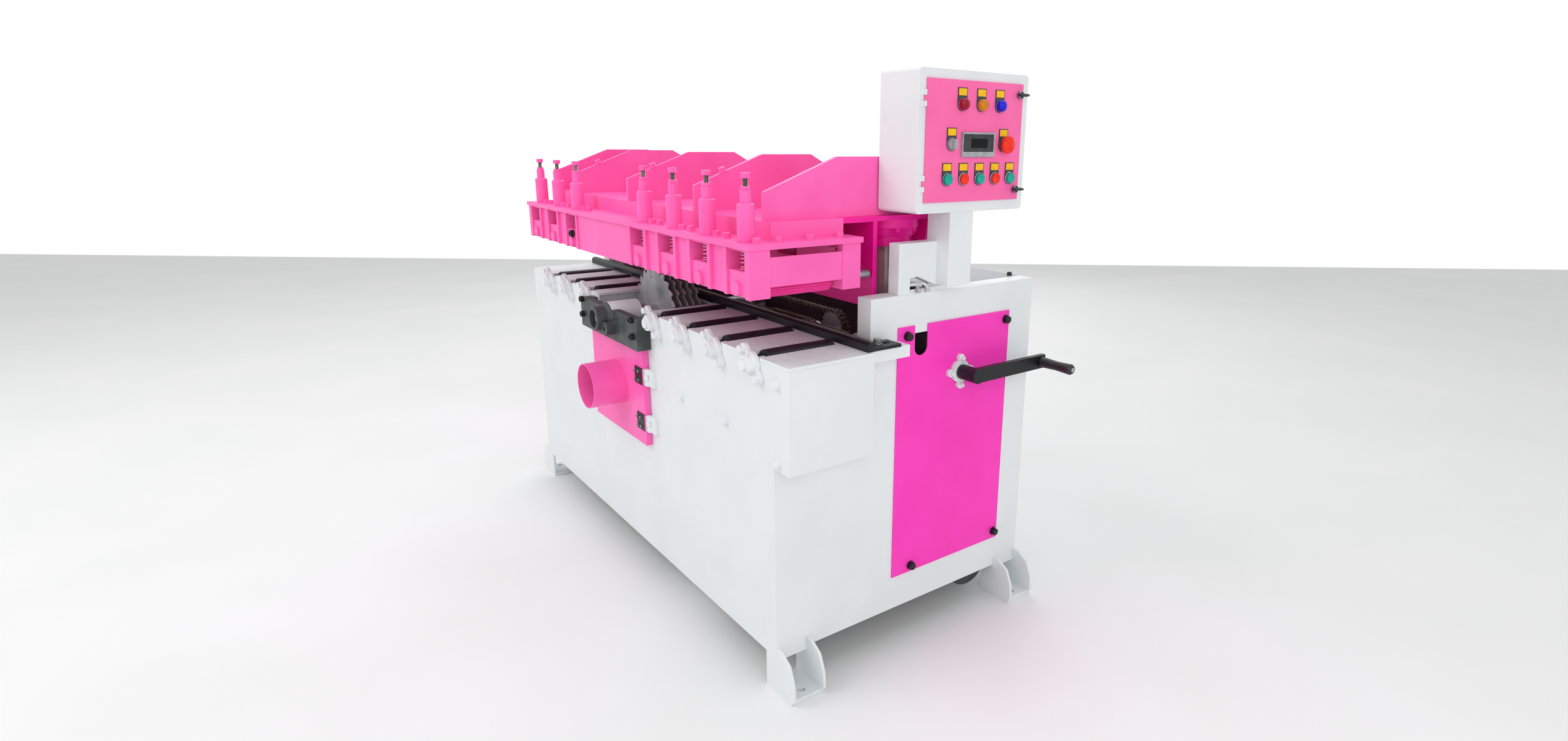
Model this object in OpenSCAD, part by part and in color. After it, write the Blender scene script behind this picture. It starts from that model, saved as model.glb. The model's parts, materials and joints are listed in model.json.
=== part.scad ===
// Multi rip saw: a floor machine that rips planks into strips with a gang of blades.
// Millimetres. X runs along the feed, +X to the crank end. The operator stands at -Y. Z is up.
// The origin is on the floor, in the middle of the four anchor holes.

/* [Cabinet] */
// Length of the cabinet between its end faces
cab_len = 1608; // [1500:1:1760]
// Depth of the cabinet, front sheet to back sheet
cab_depth = 820; // [800:1:900]
// Height of the table's top above the floor
table_h = 800; // [780:1:860]
// Gap between the floor and the cabinet's lower edge
floor_gap = 90; // [70:1:110]
// Thickness of the cabinet's sheet steel
sheet = 4; // [3:0.5:6]
// Height of the end frames and the rear box above the table
rear_rise = 106; // [90:1:130]
// Width of the end frames, along the machine
frame_w = 48; // [36:1:60]
// Front face of the end frames' raised arms, behind the front sheet
arm_back = 264; // [256:1:290]
// Front wall of the rear box, behind the front sheet
box_back = 470; // [455:1:490]
// Depth of the sunk channel's floor below the table
channel_drop = 110; // [100:1:130]
// Front edge of the end doors, behind the front sheet
hatch_front = 346; // [340:1:352]
// Width of the end doors
hatch_w = 385; // [360:1:400]

/* [Feet] */
// Width of a foot bracket
foot_w = 92; // [70:1:110]
// Reach of a foot beyond the end face
foot_out = 72; // [60:1:90]
// Reach of a foot under the cabinet
foot_in = 43; // [30:1:60]
// Height of a foot's side cheeks
foot_h = 115; // [112:1:130]
// Thickness of the cheeks
cheek_t = 8; // [5:0.5:12]
// Thickness of the sole plate
sole_t = 10; // [6:0.5:14]
// Diameter of an anchor hole
anchor_d = 18; // [12:0.5:22]

/* [Table] */
// Depth of the table plates
table_depth = 228; // [222:1:240]
// Thickness of the table plates
table_t = 8; // [6:0.5:9]
// Overhang of the table box beyond the outfeed end
table_over = 60; // [40:1:80]
// Height of the overhanging table box
skirt_h = 240; // [200:1:280]
// Gap between the two table plates, where the blades rise
gap_w = 340; // [320:1:370]
// Width of a roller slot
slot_w = 51; // [50.5:0.5:54]
// Distance from the table's rear edge to the fence's face
fence_inset = 12; // [9:1:16]
// Width of the fence bar
fence_w = 20; // [14:1:24]
// Height of the fence bar
fence_h = 22; // [16:1:30]
// Thickness of the fence's end bracket
bracket_t = 8; // [6:0.5:10]

/* [Lower rollers] */
// Distance between neighbouring rollers
roller_pitch = 168; // [160:1:172]
// Distance from the outfeed end face to the first roller
outfeed_first = 78; // [70:1:90]
// Distance from the infeed end face to the last roller
infeed_first = 203; // [190:1:215]
// Diameter of a lower roller
lower_d = 52; // [48:0.5:52]
// Height of the rollers above the table
lower_proud = 8; // [6:0.5:9]
// Front end of the roller bodies, behind the front sheet
lower_start = 28; // [20:1:40]
// Length of the roller bodies
lower_len = 178; // [160:1:182]
// Diameter of the roller shafts
lower_shaft_d = 25; // [20:0.5:28]
// Pitch of the feed chains
chain_pitch = 12.7; // [12.2:0.1:13]
// Teeth on a feed sprocket
feed_teeth = 16; // [12:4:16]
// Teeth on a drive sprocket
drive_teeth = 24; // [20:4:24]

/* [Saw] */
// Place of the arbor along the machine
arbor_x = -10; // [-20:1:5]
// Depth of the arbor below the table's top
arbor_drop = 40; // [36:1:46]
// Diameter of the arbor
arbor_d = 35; // [30:0.5:38]
// Diameter of the spacer collars
collar_d = 50; // [46:0.5:60]
// Diameter of the blades
blade_d = 270; // [240:1:280]
// Thickness of a blade
blade_t = 3; // [2:0.1:4]
// Distance between neighbouring blades
blade_pitch = 20; // [16:0.5:20.5]
// Number of blades
blade_count = 5; // [3:1:5]
// Number of teeth on a blade
blade_teeth = 24; // [16:4:32]
// Distance from the front sheet to the first blade
first_blade = 108; // [104:0.5:112]
// Length of the outboard bearing plate
block_w = 412; // [380:1:414]
// Height of the outboard bearing plate
block_h = 87; // [80:1:96]
// Outer diameter of the outboard bearing's nose
nose_d = 70; // [60:1:76]
// Diameter of the arbor pulley
arbor_pulley_d = 110; // [100:1:120]
// Diameter of the motor pulley
motor_pulley_d = 150; // [140:1:160]

/* [Head] */
// Height of the head's lower edge above the table
head_gap = 133; // [125:1:145]
// Height of the side rails
rail_h = 102; // [98:1:112]
// Thickness of the side rails
rail_t = 42; // [38:1:44]
// Height of the pillars that stand proud of the rails
pillar_t = 8; // [4:0.5:10]
// Overhang of the head in front of the front sheet
head_over = 41; // [34:1:46]
// Depth of the head over the pillars
head_depth = 288; // [286:1:292]
// Distance from the outfeed end face to the head's end
head_inset = 19; // [10:1:24]
// Distance from the infeed end face to the head's other end
head_left = 142; // [134:1:146]
// Thickness of the head's top plate
plate_t = 12; // [8:0.5:14]
// Height of the box beam on the top plate
beam_h = 38; // [34:1:46]
// Thickness of the ribs
rib_t = 12; // [8:0.5:14]
// Height of the ribs above the beam
rib_h = 134; // [110:1:150]
// Diameter of the spring posts
post_d = 38; // [32:0.5:40]
// Height of the spring posts
post_h = 79; // [60:1:90]
// Height of a post's neck
neck_h = 27; // [20:1:32]
// Diameter of the adjuster screws
screw_d = 12; // [10:0.5:14]

/* [Upper rollers] */
// Diameter over the flutes
upper_d = 54; // [50:0.5:58]
// Height of the roller axis above the rails' lower edge
upper_rise = 18; // [17:0.5:20]
// Number of flutes
flutes = 28; // [20:4:32]
// Diameter of the roller shafts
upper_shaft_d = 20; // [16:0.5:22]
// Width of a slide block
block_slide_w = 44; // [40:0.5:46]
// Wire diameter of the pressure springs
spring_wire = 3; // [2:0.1:3.5]
// Outer diameter of the pressure springs
spring_d = 26; // [22:0.5:28]
// Turns in a pressure spring
spring_turns = 5; // [4:1:6]

/* [Lift] */
// Diameter of the guide columns
column_d = 60; // [50:0.5:62]
// Columns behind the front sheet
column_back = 426; // [422:1:430]
// Diameter of the lift screw
lift_d = 30; // [24:0.5:34]
// Crank shaft and lift screw behind the front sheet
lift_back = 552; // [545:1:560]
// Height of the crank shaft above the floor
crank_h = 694; // [680:1:710]
// Distance from the crank's hub to its grip
crank_r = 240; // [200:1:260]
// Diameter of the grip
grip_d = 28; // [24:0.5:34]
// Length of the grip
grip_len = 100; // [80:1:120]

/* [Chip outlet] */
// Width of the chip door
chip_w = 370; // [350:1:376]
// Height of the chip door
chip_h = 276; // [250:1:290]
// Outer diameter of the dust spigot
spigot_d = 130; // [100:1:150]
// Wall of the dust spigot
spigot_wall = 3; // [2:0.5:4]
// Length of the dust spigot
spigot_len = 97; // [80:1:120]

/* [Control box] */
// Width of the box
box_w = 350; // [346:1:400]
// Height of the box
box_h = 312; // [308:1:350]
// Depth of the box
box_d = 130; // [120:1:150]
// Distance from the front sheet to the box
box_front = 352; // [345:1:360]
// Height of the box's underside above the table
box_rise = 296; // [280:1:320]
// Overhang of the box beyond the end face
box_over = 43; // [36:1:50]
// Thickness of the box door
door_t = 4; // [3:0.5:5]
// Diameter of a push button's cap
button_d = 24; // [20:0.5:26]
// Travel of a push button
button_travel = 3.5; // [2:0.5:4]

/* [Hidden] */
$fn = 48;
run = 0.05;             // radial clearance of a shaft that turns
gap = 0.4;              // gap between pieces that move past each other
cut = 1;                // overshoot of a cutting tool
pi = 3.14159265;

front = -cab_depth / 2;
back = cab_depth / 2;
end_x = cab_len / 2;
top_z = table_h + rear_rise;
table_under = table_h - table_t;
skirt_z = table_h - skirt_h;
channel_z = table_h - channel_drop;
right_x = end_x + table_over;

roller_x = concat(
    [for (i = [0:3]) end_x - outfeed_first - i * roller_pitch],
    [for (i = [2:-1:0]) -end_x + infeed_first + i * roller_pitch]);
lower_z = table_h + lower_proud - lower_d / 2;
notch_w = lower_shaft_d + 10;
bearing_t = 10;
bearing_boss_d = 48;
bearing_out = 26;
ear_x = 40;
ear_d = 26;
rear_bearing_out = 14;
rear_bearing_t = 8;

feed_r = chain_pitch / (2 * sin(180 / feed_teeth));
drive_r = chain_pitch / (2 * sin(180 / drive_teeth));
sprocket_t = 6;
chain_w = 12;
chain_rise = 5;
row_a = table_depth + 24;
row_b = row_a + 18;
row_c = row_b + 72;
row_d = row_c + 14;
rail_y = row_b + 10;
rail_sheet = 6;
feed_loops = [[0, 1, row_a], [1, 2, row_b], [2, 3, row_a], [4, 5, row_a], [5, 6, row_b]];
drive_ends = [1, 4];
fence_back = table_depth - fence_inset;

hatch_y = [front + hatch_front, front + hatch_front + hatch_w];
hatch_z = [floor_gap + 90, table_h + 30];
hatch_lap = 20;         // lap of an end door over its opening
notch_d = 42;           // notch in the end door's upper edge
notch_y = hatch_y[0] + 74;
notch_z = table_h - 25;

arbor_z = table_h - arbor_drop;
collar_gap = blade_pitch - blade_t;
last_blade = first_blade + (blade_count - 1) * blade_pitch;
gap_l = arbor_x - gap_w / 2;
gap_r = arbor_x + gap_w / 2;
barrel_end = 50;
block_top = arbor_z + 27;
block_t = 24;
pad_t = 16;             // pads that hold the outboard plate off the front sheet
pad_w = 36;
plate_y = front - pad_t - block_t;
nose_len = 43;
clamp_x = arbor_x + 48;
clamp_z = arbor_z - 22;
clamp_d = 38;
clamp_len = 30;
shaft_hole = arbor_d + 30;
housing_end = rail_y;
housing_d = 2 * (arbor_drop - 3);
pulley_back = lift_back + 45;
pulley_w = 56;
grooves = 3;
motor_x = 330;
motor_len = 260;
motor_z = floor_gap + 135;
motor_d = 230;
motor_shaft_d = 38;
bed_z = motor_z - motor_d / 2 - 10;
feed_motor_d = 130;
feed_motor_y = front + hatch_front + 302;
feed_motor_z = floor_gap + 35;

head_z = table_h + head_gap;
rail_top = head_z + rail_h;
plate_top = rail_top + plate_t;
beam_top = plate_top + beam_h;
head_r = end_x - head_inset;
head_l = -end_x + head_left;
head_front = front - head_over;
head_back = head_front + head_depth;
rail_front = head_front + pillar_t;
rail_rear = head_back - pillar_t;
upper_z = head_z + upper_rise;
window_z = head_z + 6;
window_h = rail_h - 12;
window_w = block_slide_w + 2 * gap;
block_z = window_z + gap;
block_slide_h = 34;
pillar_w = 12;
spring_z = block_z + block_slide_h + gap;
seat_t = 5;
seat_d = 25;
spring_len = window_z + window_h - seat_t - gap - spring_z;
post_y = rail_front + rail_t / 2;
rear_post_y = rail_rear - rail_t / 2;
beam_front = head_front + 81;
beam_back = beam_front + 192;
beam_l = head_l + 12;
beam_r = head_r - 45;
rib_slope = [193, 73];  // run and rise of a rib's sloping front
rib_flat = 150;
rib_tail = [55, 29];
rib_x = [head_r - 79, roller_x[2], arbor_x - 4, roller_x[5], head_l + 26];
carriage_t = 12;
carriage_back = front + 500;
column_x = [rib_x[0] - rib_t / 2 - column_d / 2 - 5, rib_x[4] + rib_t / 2 + column_d / 2 + 40];
column_y = front + column_back;
column_top = beam_top + 61;
bush_h = 65;
flange_h = 20;
lift_x = 62;
lift_y = front + lift_back;
lift_top = beam_top + 42;
thrust_z = crank_h - 84;  // shelf under the lift screw
thrust_t = 14;
journal_d = lift_d - 8;
bevel_t = 20;
nut_h = 52;
tongue_w = 84;
apron_y = head_back + 73;
apron_t = 12;
apron_z = head_z - 63;

hub_x = end_x + 16;
hub_len = 58;
hub_d = 38;
arm_t = 14;
arm_w = 36;
arm_x = hub_x + hub_len - arm_t - 4;
grip_pin_d = 12;

chip_x = arbor_x - 5;
chip_top = block_top - block_h - 4;
chip_z = chip_top - chip_h;
chip_t = 4;
chip_proud = 18;
hinge_d = 14;
pin_d = 6;
hinge_x = chip_x + chip_w / 2 + 9;
hinge_y = front - 10;
hinge_z = [chip_z + 42, chip_top - 100];
hinge_h = 48;
spigot_z = chip_z + 146;

box_y = front + box_front;
box_z = table_h + box_rise;
box_x = end_x + box_over;
box_wall = 3;
box_round = 8;
door_rim = [20, 21];    // box face left free before and behind the door
door_sill = [24, 21];   // box face left free below and above the door
door_w = box_w - door_rim[0] - door_rim[1];
door_h = box_h - door_sill[0] - door_sill[1];
bracket_w = 36;
bracket_y = front + 345;
bracket_top = top_z + 120;
mast_y = box_y + 110;
mast_w = 76;
mast_z = top_z + 16;
panel_y = box_y + door_rim[0];
panel_z = box_z + door_sill[0];
panel_x = box_x + gap;
face_x = panel_x + door_t;
button_y = [for (i = [0:4]) panel_y + 66 + i * 52];
button_z = panel_z + 51;
lamp_y = [for (i = [0:2]) panel_y + 106 + i * 61];
lamp_z = panel_z + 215;
switch_z = panel_z + 128;
selector_y = panel_y + 77;
estop_y = panel_y + 247;
latch_y = panel_y + door_w - 13;
latch_z = [panel_z + 242, panel_z + 24];
stem_d = 12;
knuckle_d = 6;
knuckle_pin_d = 3;
knuckle_h = 36;
knuckle_x = panel_x + knuckle_d / 2;
knuckle_y = panel_y - 4;
knuckle_z = [panel_z + 24, panel_z + door_h - 24 - knuckle_h];
label_w = 28;
label_h = 17;
label_t = 2;
bezel_t = 5;
cable_x = [end_x - 26, end_x - 12];

white = "#eef0f1";
pink = "#ff4fae";
steel = "#b9bcc2";
dark = "#2b2e2f";
black = "#17181a";

// A box from its low corner to its high corner.
module block(low, high) {
    translate(low)
        cube(high - low);
}

// A round bar along Y from y0 to y1, on the axis through x and z.
module bar_y(x, z, d, y0, y1) {
    translate([x, y0, z])
        rotate([-90, 0, 0])
            cylinder(d = d, h = y1 - y0);
}

// A round bar along X from x0 to x1, on the axis through y and z.
module bar_x(y, z, d, x0, x1) {
    translate([x0, y, z])
        rotate([0, 90, 0])
            cylinder(d = d, h = x1 - x0);
}

// A flat outline in X and Z, given thickness along Y from y0 to y1.
module slab_y(y0, y1) {
    translate([0, y1, 0])
        rotate([90, 0, 0])
            linear_extrude(y1 - y0)
                children();
}

// A flat outline in Y and Z, given thickness along X from x0 to x1.
module slab_x(x0, x1) {
    translate([x0, 0, 0])
        rotate([90, 0, 90])
            linear_extrude(x1 - x0)
                children();
}

// The loop's outline round two equal wheels of radius r, a distance c apart.
module race(c, r) {
    circle(r = r);
    translate([c, 0])
        circle(r = r);
    translate([0, -r])
        square([c, 2 * r]);
}

// A sprocket's outline with flat-topped teeth.
module sprocket_outline(teeth, r) {
    step = 360 / teeth;
    tip = r + 2.2;
    root = r - 4;
    polygon([for (i = [0:teeth - 1], p = [[-0.32, root], [-0.14, tip], [0.14, tip], [0.32, root]])
        p[1] * [cos((i + p[0]) * step), sin((i + p[0]) * step)]]);
}

// One sprocket on the shaft at x, with its middle plane at y.
module sprocket(x, y, teeth, r) {
    slab_y(y - sprocket_t / 2, y + sprocket_t / 2)
        translate([x, lower_z])
            sprocket_outline(teeth, r);
}

module end_profile() {
    polygon([[front, floor_gap], [back, floor_gap], [back, top_z - sheet],
             [front + arm_back, top_z - sheet],
             [front + arm_back, table_under], [front, table_under]]);
}

// One end of the cabinet: its sheet with the door opening, and the frame inside it.
module end_wall(side) {
    x_out = side * end_x;
    x_sheet = side * (end_x - sheet);
    x_frame = side * (end_x - frame_w);
    difference() {
        slab_x(min(x_out, x_sheet), max(x_out, x_sheet))
            end_profile();
        block([min(x_out, x_sheet) - cut, hatch_y[0] + hatch_lap, hatch_z[0] + hatch_lap],
              [max(x_out, x_sheet) + cut, hatch_y[1] - hatch_lap, hatch_z[1] - hatch_lap]);
    }
    block([min(x_out, x_frame), front + arm_back, top_z - frame_w], [max(x_out, x_frame), back, top_z]);
    block([min(x_out, x_frame), front + arm_back, channel_z],
          [max(x_out, x_frame), front + rail_y - 2, top_z]);
}

module front_openings() {
    block([gap_l + 5, front - cut, block_top - block_h + 15], [gap_r - 5, front + sheet + cut, table_h]);
    block([chip_x - chip_w / 2 + 20, front - cut, chip_z + 20],
          [chip_x + chip_w / 2 - 20, front + sheet + cut, chip_top - 10]);
    for (x = roller_x)
        block([x - notch_w / 2, front - cut, lower_z - notch_w / 2],
              [x + notch_w / 2, front + sheet + cut, table_h]);
}

// The cabinet's half of a chip door hinge: two knuckles on a leaf, and the pin through them.
module hinge_half(z) {
    third = hinge_h / 3;
    for (k = [0, 2])
        translate([hinge_x, hinge_y, z + k * third])
            cylinder(d = hinge_d, h = third - gap);
    translate([hinge_x, hinge_y, z])
        cylinder(d = pin_d, h = hinge_h - gap);
    for (k = [0, 2])
        block([hinge_x, hinge_y - 2, z + k * third], [hinge_x + 12, front, z + (k + 1) * third - gap]);
    block([hinge_x + 9, hinge_y, z], [hinge_x + 34, front, z + hinge_h - gap]);
}

module cabinet() {
    color(white) {
        difference() {
            block([-end_x, front, floor_gap], [end_x, front + sheet, table_under]);
            front_openings();
        }
        difference() {
            union() {
                block([end_x, front, skirt_z], [right_x, front + sheet, table_under]);
                block([right_x - sheet, front, skirt_z], [right_x, front + table_depth, table_under]);
                block([end_x, front, skirt_z], [right_x, front + table_depth, skirt_z + sheet]);
            }
            front_openings();
        }
        difference() {
            block([-end_x, front + table_depth - sheet, skirt_z],
                  [right_x, front + table_depth, table_under]);
            bar_y(arbor_x, arbor_z, collar_d + 8, front, front + table_depth + cut);
            for (x = roller_x)
                bar_y(x, lower_z, notch_w, front + sheet, front + table_depth + cut);
        }
        for (side = [-1, 1])
            end_wall(side);
        block([-end_x, back - sheet, floor_gap], [end_x, back, top_z - sheet]);
        difference() {
            block([-end_x, front + box_back, thrust_z], [end_x, front + box_back + sheet, top_z - sheet]);
            bar_y(arbor_x, arbor_z, shaft_hole, front, back);
        }
        difference() {
            block([-end_x, front + rail_y, channel_z], [end_x, front + rail_y + rail_sheet, lower_z + 14]);
            bar_y(arbor_x, arbor_z, shaft_hole, front, back);
            for (x = roller_x)
                bar_y(x, lower_z, notch_w, front + sheet, front + rail_y + rail_sheet + cut);
        }
        block([-end_x, front + table_depth - sheet, channel_z - sheet],
              [end_x, front + box_back + sheet, channel_z]);
        block([end_x, front + table_depth, table_under - 20], [right_x - 12, hatch_y[0] - 2, table_h]);
        for (x = [chip_x - chip_w / 2, chip_x + chip_w / 2 - sheet])
            block([x, front, chip_z], [x + sheet, front + table_depth, table_under]);
        slab_x(chip_x - chip_w / 2, chip_x + chip_w / 2)
            polygon([[front, chip_z], [front + table_depth, skirt_z],
                     [front + table_depth, skirt_z + sheet], [front, chip_z + sheet]]);
        difference() {
            block([lift_x - 50, front + box_back, thrust_z],
                  [lift_x + 50, lift_y + 36, thrust_z + thrust_t]);
            translate([lift_x, lift_y, thrust_z - cut])
                cylinder(d = journal_d + 2 * run, h = thrust_t + 2 * cut);
        }
        for (y = [front, back - 40])
            block([-end_x, y, floor_gap], [end_x, y + 40, floor_gap + sheet]);
        block([motor_x - 140, front, floor_gap], [motor_x + 140, back, bed_z]);
        for (z = hinge_z)
            hinge_half(z);
    }
}

module rear_cover() {
    color("#9aa0a8")
        difference() {
            block([frame_w - end_x, front + box_back, top_z - sheet], [end_x - frame_w, back, top_z]);
            translate([lift_x, lift_y, top_z - 10])
                cylinder(d = lift_d + 8, h = 20);
        }
}

// A foot bracket on the outfeed end: two cheeks on a sole plate with an anchor hole.
module foot() {
    cheek = [[-foot_in, 0], [foot_out - 10, 0], [foot_out, 17], [foot_out - 3, foot_h * 0.48],
             [foot_out - 20, foot_h * 0.83], [18, foot_h], [0, foot_h], [0, floor_gap],
             [-foot_in, floor_gap]];
    for (y = [0, foot_w - cheek_t])
        translate([0, y + cheek_t, 0])
            rotate([90, 0, 0])
                linear_extrude(cheek_t)
                    polygon(cheek);
    difference() {
        block([-foot_in, 0, 0], [foot_out - 10, foot_w, sole_t]);
        translate([foot_out / 2, foot_w / 2, -cut])
            cylinder(d = anchor_d, h = sole_t + 2 * cut);
    }
    block([-foot_in, 0, floor_gap - sole_t], [0, foot_w, floor_gap]);
}

module feet() {
    color(white)
        for (side = [0, 1])
            mirror([side, 0, 0])
                for (y = [front, back - foot_w])
                    translate([end_x, y, 0])
                        foot();
}

module table_plates() {
    color(steel)
        for (span = [[-end_x, gap_l], [gap_r, right_x]])
            difference() {
                block([span[0], front, table_under], [span[1], front + table_depth, table_h]);
                for (x = roller_x)
                    block([x - slot_w / 2, front - cut, table_under - cut],
                          [x + slot_w / 2, front + lower_start + lower_len + 4, table_h + cut]);
                for (x = roller_x)
                    bar_y(x, lower_z, lower_shaft_d + 4, front - cut, front + table_depth + cut);
            }
}

// The fence bar on the table's rear edge, with a slotted bracket at the outfeed end.
module fence() {
    face = front + fence_back;
    rear = face + fence_w;
    slot = [rear + 22, rear + 58];
    slot_x = end_x + 25;
    slot_d = 12;
    color(dark) {
        slab_x(-end_x, right_x - 8)
            polygon([[face, table_h], [rear, table_h], [rear, table_h + fence_h],
                     [face + 6, table_h + fence_h], [face, table_h + fence_h - 6]]);
        difference() {
            block([end_x + gap, rear - fence_w / 2, table_h],
                  [right_x - 8, slot[1] + 20, table_h + bracket_t]);
            for (y = slot)
                translate([slot_x, y, table_h - cut])
                    cylinder(d = slot_d, h = bracket_t + 2 * cut);
            block([slot_x - slot_d / 2, slot[0], table_h - cut],
                  [slot_x + slot_d / 2, slot[1], table_h + bracket_t + cut]);
        }
    }
}

// The bolted end doors; the outfeed one has a notch at the top and the crank shaft's hole.
module end_doors() {
    color(pink) {
        difference() {
            block([end_x, hatch_y[0], hatch_z[0]], [end_x + sheet, hatch_y[1], hatch_z[1]]);
            block([end_x - cut, notch_y - notch_d / 2, notch_z],
                  [end_x + sheet + cut, notch_y + notch_d / 2, hatch_z[1] + cut]);
            bar_x(notch_y, notch_z, notch_d, end_x - cut, end_x + sheet + cut);
            bar_x(lift_y, crank_h, 60, end_x - cut, end_x + sheet + cut);
        }
        block([-end_x - sheet, hatch_y[0], hatch_z[0]], [-end_x, hatch_y[1], hatch_z[1]]);
    }
}

// The outboard bearing: a plate across the blade opening, with a bored nose and a clamp boss.
module outboard_bearing() {
    left = chip_x - block_w / 2;
    right = chip_x + block_w / 2;
    low = block_top - block_h;
    nose_y = plate_y - nose_len;
    barrel_len = front + barrel_end - nose_y;
    barrel_r = nose_d / 2 + 9;
    difference() {
        union() {
            block([left, plate_y, low], [right, front - pad_t, block_top]);
            for (x = [left, right - pad_w])
                block([x, front - pad_t, low], [x + pad_w, front, block_top]);
            translate([arbor_x, nose_y, arbor_z])
                rotate([-90, 0, 0])
                    rotate_extrude()
                        polygon([[0, 0], [nose_d / 2 - 3, 0], [nose_d / 2, 3], [nose_d / 2, nose_len - 13],
                                 [barrel_r, nose_len], [barrel_r, barrel_len], [0, barrel_len]]);
            bar_y(clamp_x, clamp_z, clamp_d, plate_y - clamp_len, plate_y);
            block([arbor_x, plate_y - clamp_len + 4, clamp_z - 16], [clamp_x, plate_y, clamp_z + 14]);
        }
        bar_y(arbor_x, arbor_z, nose_d - 18, nose_y - cut, nose_y + 33);
        bar_y(arbor_x, arbor_z, arbor_d + 2 * run, nose_y, front + barrel_end + cut);
        bar_y(clamp_x, clamp_z, clamp_d - 23, plate_y - clamp_len - cut, plate_y - 8);
    }
}

// The inboard bearing: a flanged housing on the table's rear wall.
module inboard_bearing() {
    wall = front + table_depth;
    difference() {
        union() {
            bar_y(arbor_x, arbor_z, housing_d, wall, front + housing_end);
            block([arbor_x - 60, wall, channel_z], [arbor_x + 60, front + housing_end, arbor_z - 30]);
        }
        bar_y(arbor_x, arbor_z, arbor_d + 2 * run, wall - cut, front + housing_end + cut);
        block([arbor_x - 70, wall - cut, channel_z - 20],
              [arbor_x + 70, front + housing_end + cut, channel_z]);
    }
}

module arbor_bearings() {
    color("#3a4040") {
        outboard_bearing();
        inboard_bearing();
    }
}

// A two-bolt flanged bearing in the XY plane: ears, boss and bore.
module flange_bearing(t, out) {
    difference() {
        union() {
            for (s = [-1, 1])
                translate([s * ear_x, 0, 0])
                    cylinder(d = ear_d, h = t);
            translate([-ear_x, -ear_d / 2, 0])
                cube([2 * ear_x, ear_d, t]);
            cylinder(d = bearing_boss_d + 8, h = t);
            cylinder(d1 = bearing_boss_d, d2 = bearing_boss_d - 8, h = out);
        }
        translate([0, 0, -cut])
            cylinder(d = lower_shaft_d + 2 * run, h = out + 2 * cut);
    }
}

// The crank shaft's bearing on the end door, with four lugs.
module crank_bearing() {
    difference() {
        union() {
            bar_x(lift_y, crank_h, 58, end_x - sheet, end_x + 14);
            for (a = [0:90:270])
                bar_x(lift_y + 35 * cos(a), crank_h + 35 * sin(a), 20, end_x + sheet, end_x + 14);
        }
        bar_x(lift_y, crank_h, lower_shaft_d + 2 * run, end_x - 10, end_x + 20);
    }
}

module flange_bearings() {
    color(white) {
        for (x = roller_x) {
            translate([x, front, lower_z])
                rotate([90, 0, 0])
                    rotate(-45)
                        flange_bearing(bearing_t, bearing_out);
            translate([x, front + rail_y + rail_sheet, lower_z])
                rotate([-90, 0, 0])
                    flange_bearing(rear_bearing_t, rear_bearing_out);
        }
        crank_bearing();
    }
}

// One lower roller: smooth body, shaft and the sprockets behind the table.
module lower_roller(i) {
    x = roller_x[i];
    drives = len(search(i, drive_ends)) > 0;
    shaft_end = drives ? row_d + 12 : rail_y + rail_sheet + rear_bearing_out + 1;
    color(black)
        bar_y(x, lower_z, lower_d, front + lower_start, front + lower_start + lower_len);
    color(steel) {
        bar_y(x, lower_z, lower_shaft_d, front - bearing_out - 6, front + shaft_end);
        for (loop = feed_loops)
            if (loop[0] == i || loop[1] == i)
                sprocket(x, front + loop[2], feed_teeth, feed_r);
        if (drives)
            for (y = [row_c, row_d])
                sprocket(x, front + y, drive_teeth, drive_r);
    }
}

// A chain loop from roller a to roller b in the row at y: side plates joined outside the teeth.
module chain_loop(a, b, y, r) {
    x0 = min(roller_x[a], roller_x[b]);
    c = abs(roller_x[a] - roller_x[b]);
    difference() {
        slab_y(front + y - chain_w / 2, front + y + chain_w / 2)
            translate([x0, lower_z])
                difference() {
                    race(c, r + chain_rise);
                    race(c, r - chain_rise);
                }
        slab_y(front + y - sprocket_t / 2 - gap, front + y + sprocket_t / 2 + gap)
            translate([x0, lower_z])
                race(c, r + 3);
    }
}

module feed_chains() {
    color("#5a4a3c") {
        for (loop = feed_loops)
            chain_loop(loop[0], loop[1], loop[2], feed_r);
        chain_loop(drive_ends[0], drive_ends[1], row_c, drive_r);
    }
}

// A blade's outline: hooked teeth with gullets, and slots that let the rim expand.
module blade_outline() {
    r = blade_d / 2;
    step = 360 / blade_teeth;
    teeth = [[0, r], [0.22, r - 2.5], [0.5, r - 8], [0.72, r - 15], [0.88, r - 14], [0.96, r - 8]];
    difference() {
        polygon([for (i = [0:blade_teeth - 1], p = teeth)
            p[1] * [cos((i + p[0]) * step), sin((i + p[0]) * step)]]);
        circle(d = arbor_d + 2 * run);
        for (a = [0:90:270])
            rotate(a + 0.78 * step) {
                translate([r - 34, -1])
                    square([24, 2]);
                translate([r - 34, 0])
                    circle(d = 7);
            }
    }
}

module saw_blades() {
    color("#8d9093")
        for (i = [0:blade_count - 1])
            slab_y(front + first_blade + i * blade_pitch, front + first_blade + i * blade_pitch + blade_t)
                translate([arbor_x, arbor_z])
                    blade_outline();
}

// A pulley profile with vee grooves, turned about its axis from y = 0 to pulley_w.
module pulley(d) {
    pitch = pulley_w / grooves;
    rotate([-90, 0, 0])
        rotate_extrude()
            polygon(concat([[0, 0], [d / 2, 0]],
                [for (k = [0:grooves - 1], p = [[0.14, 0], [0.36, 11], [0.64, 11], [0.86, 0]])
                    [d / 2 - p[1], (k + p[0]) * pitch]],
                [[d / 2, pulley_w], [0, pulley_w]]));
}

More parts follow.
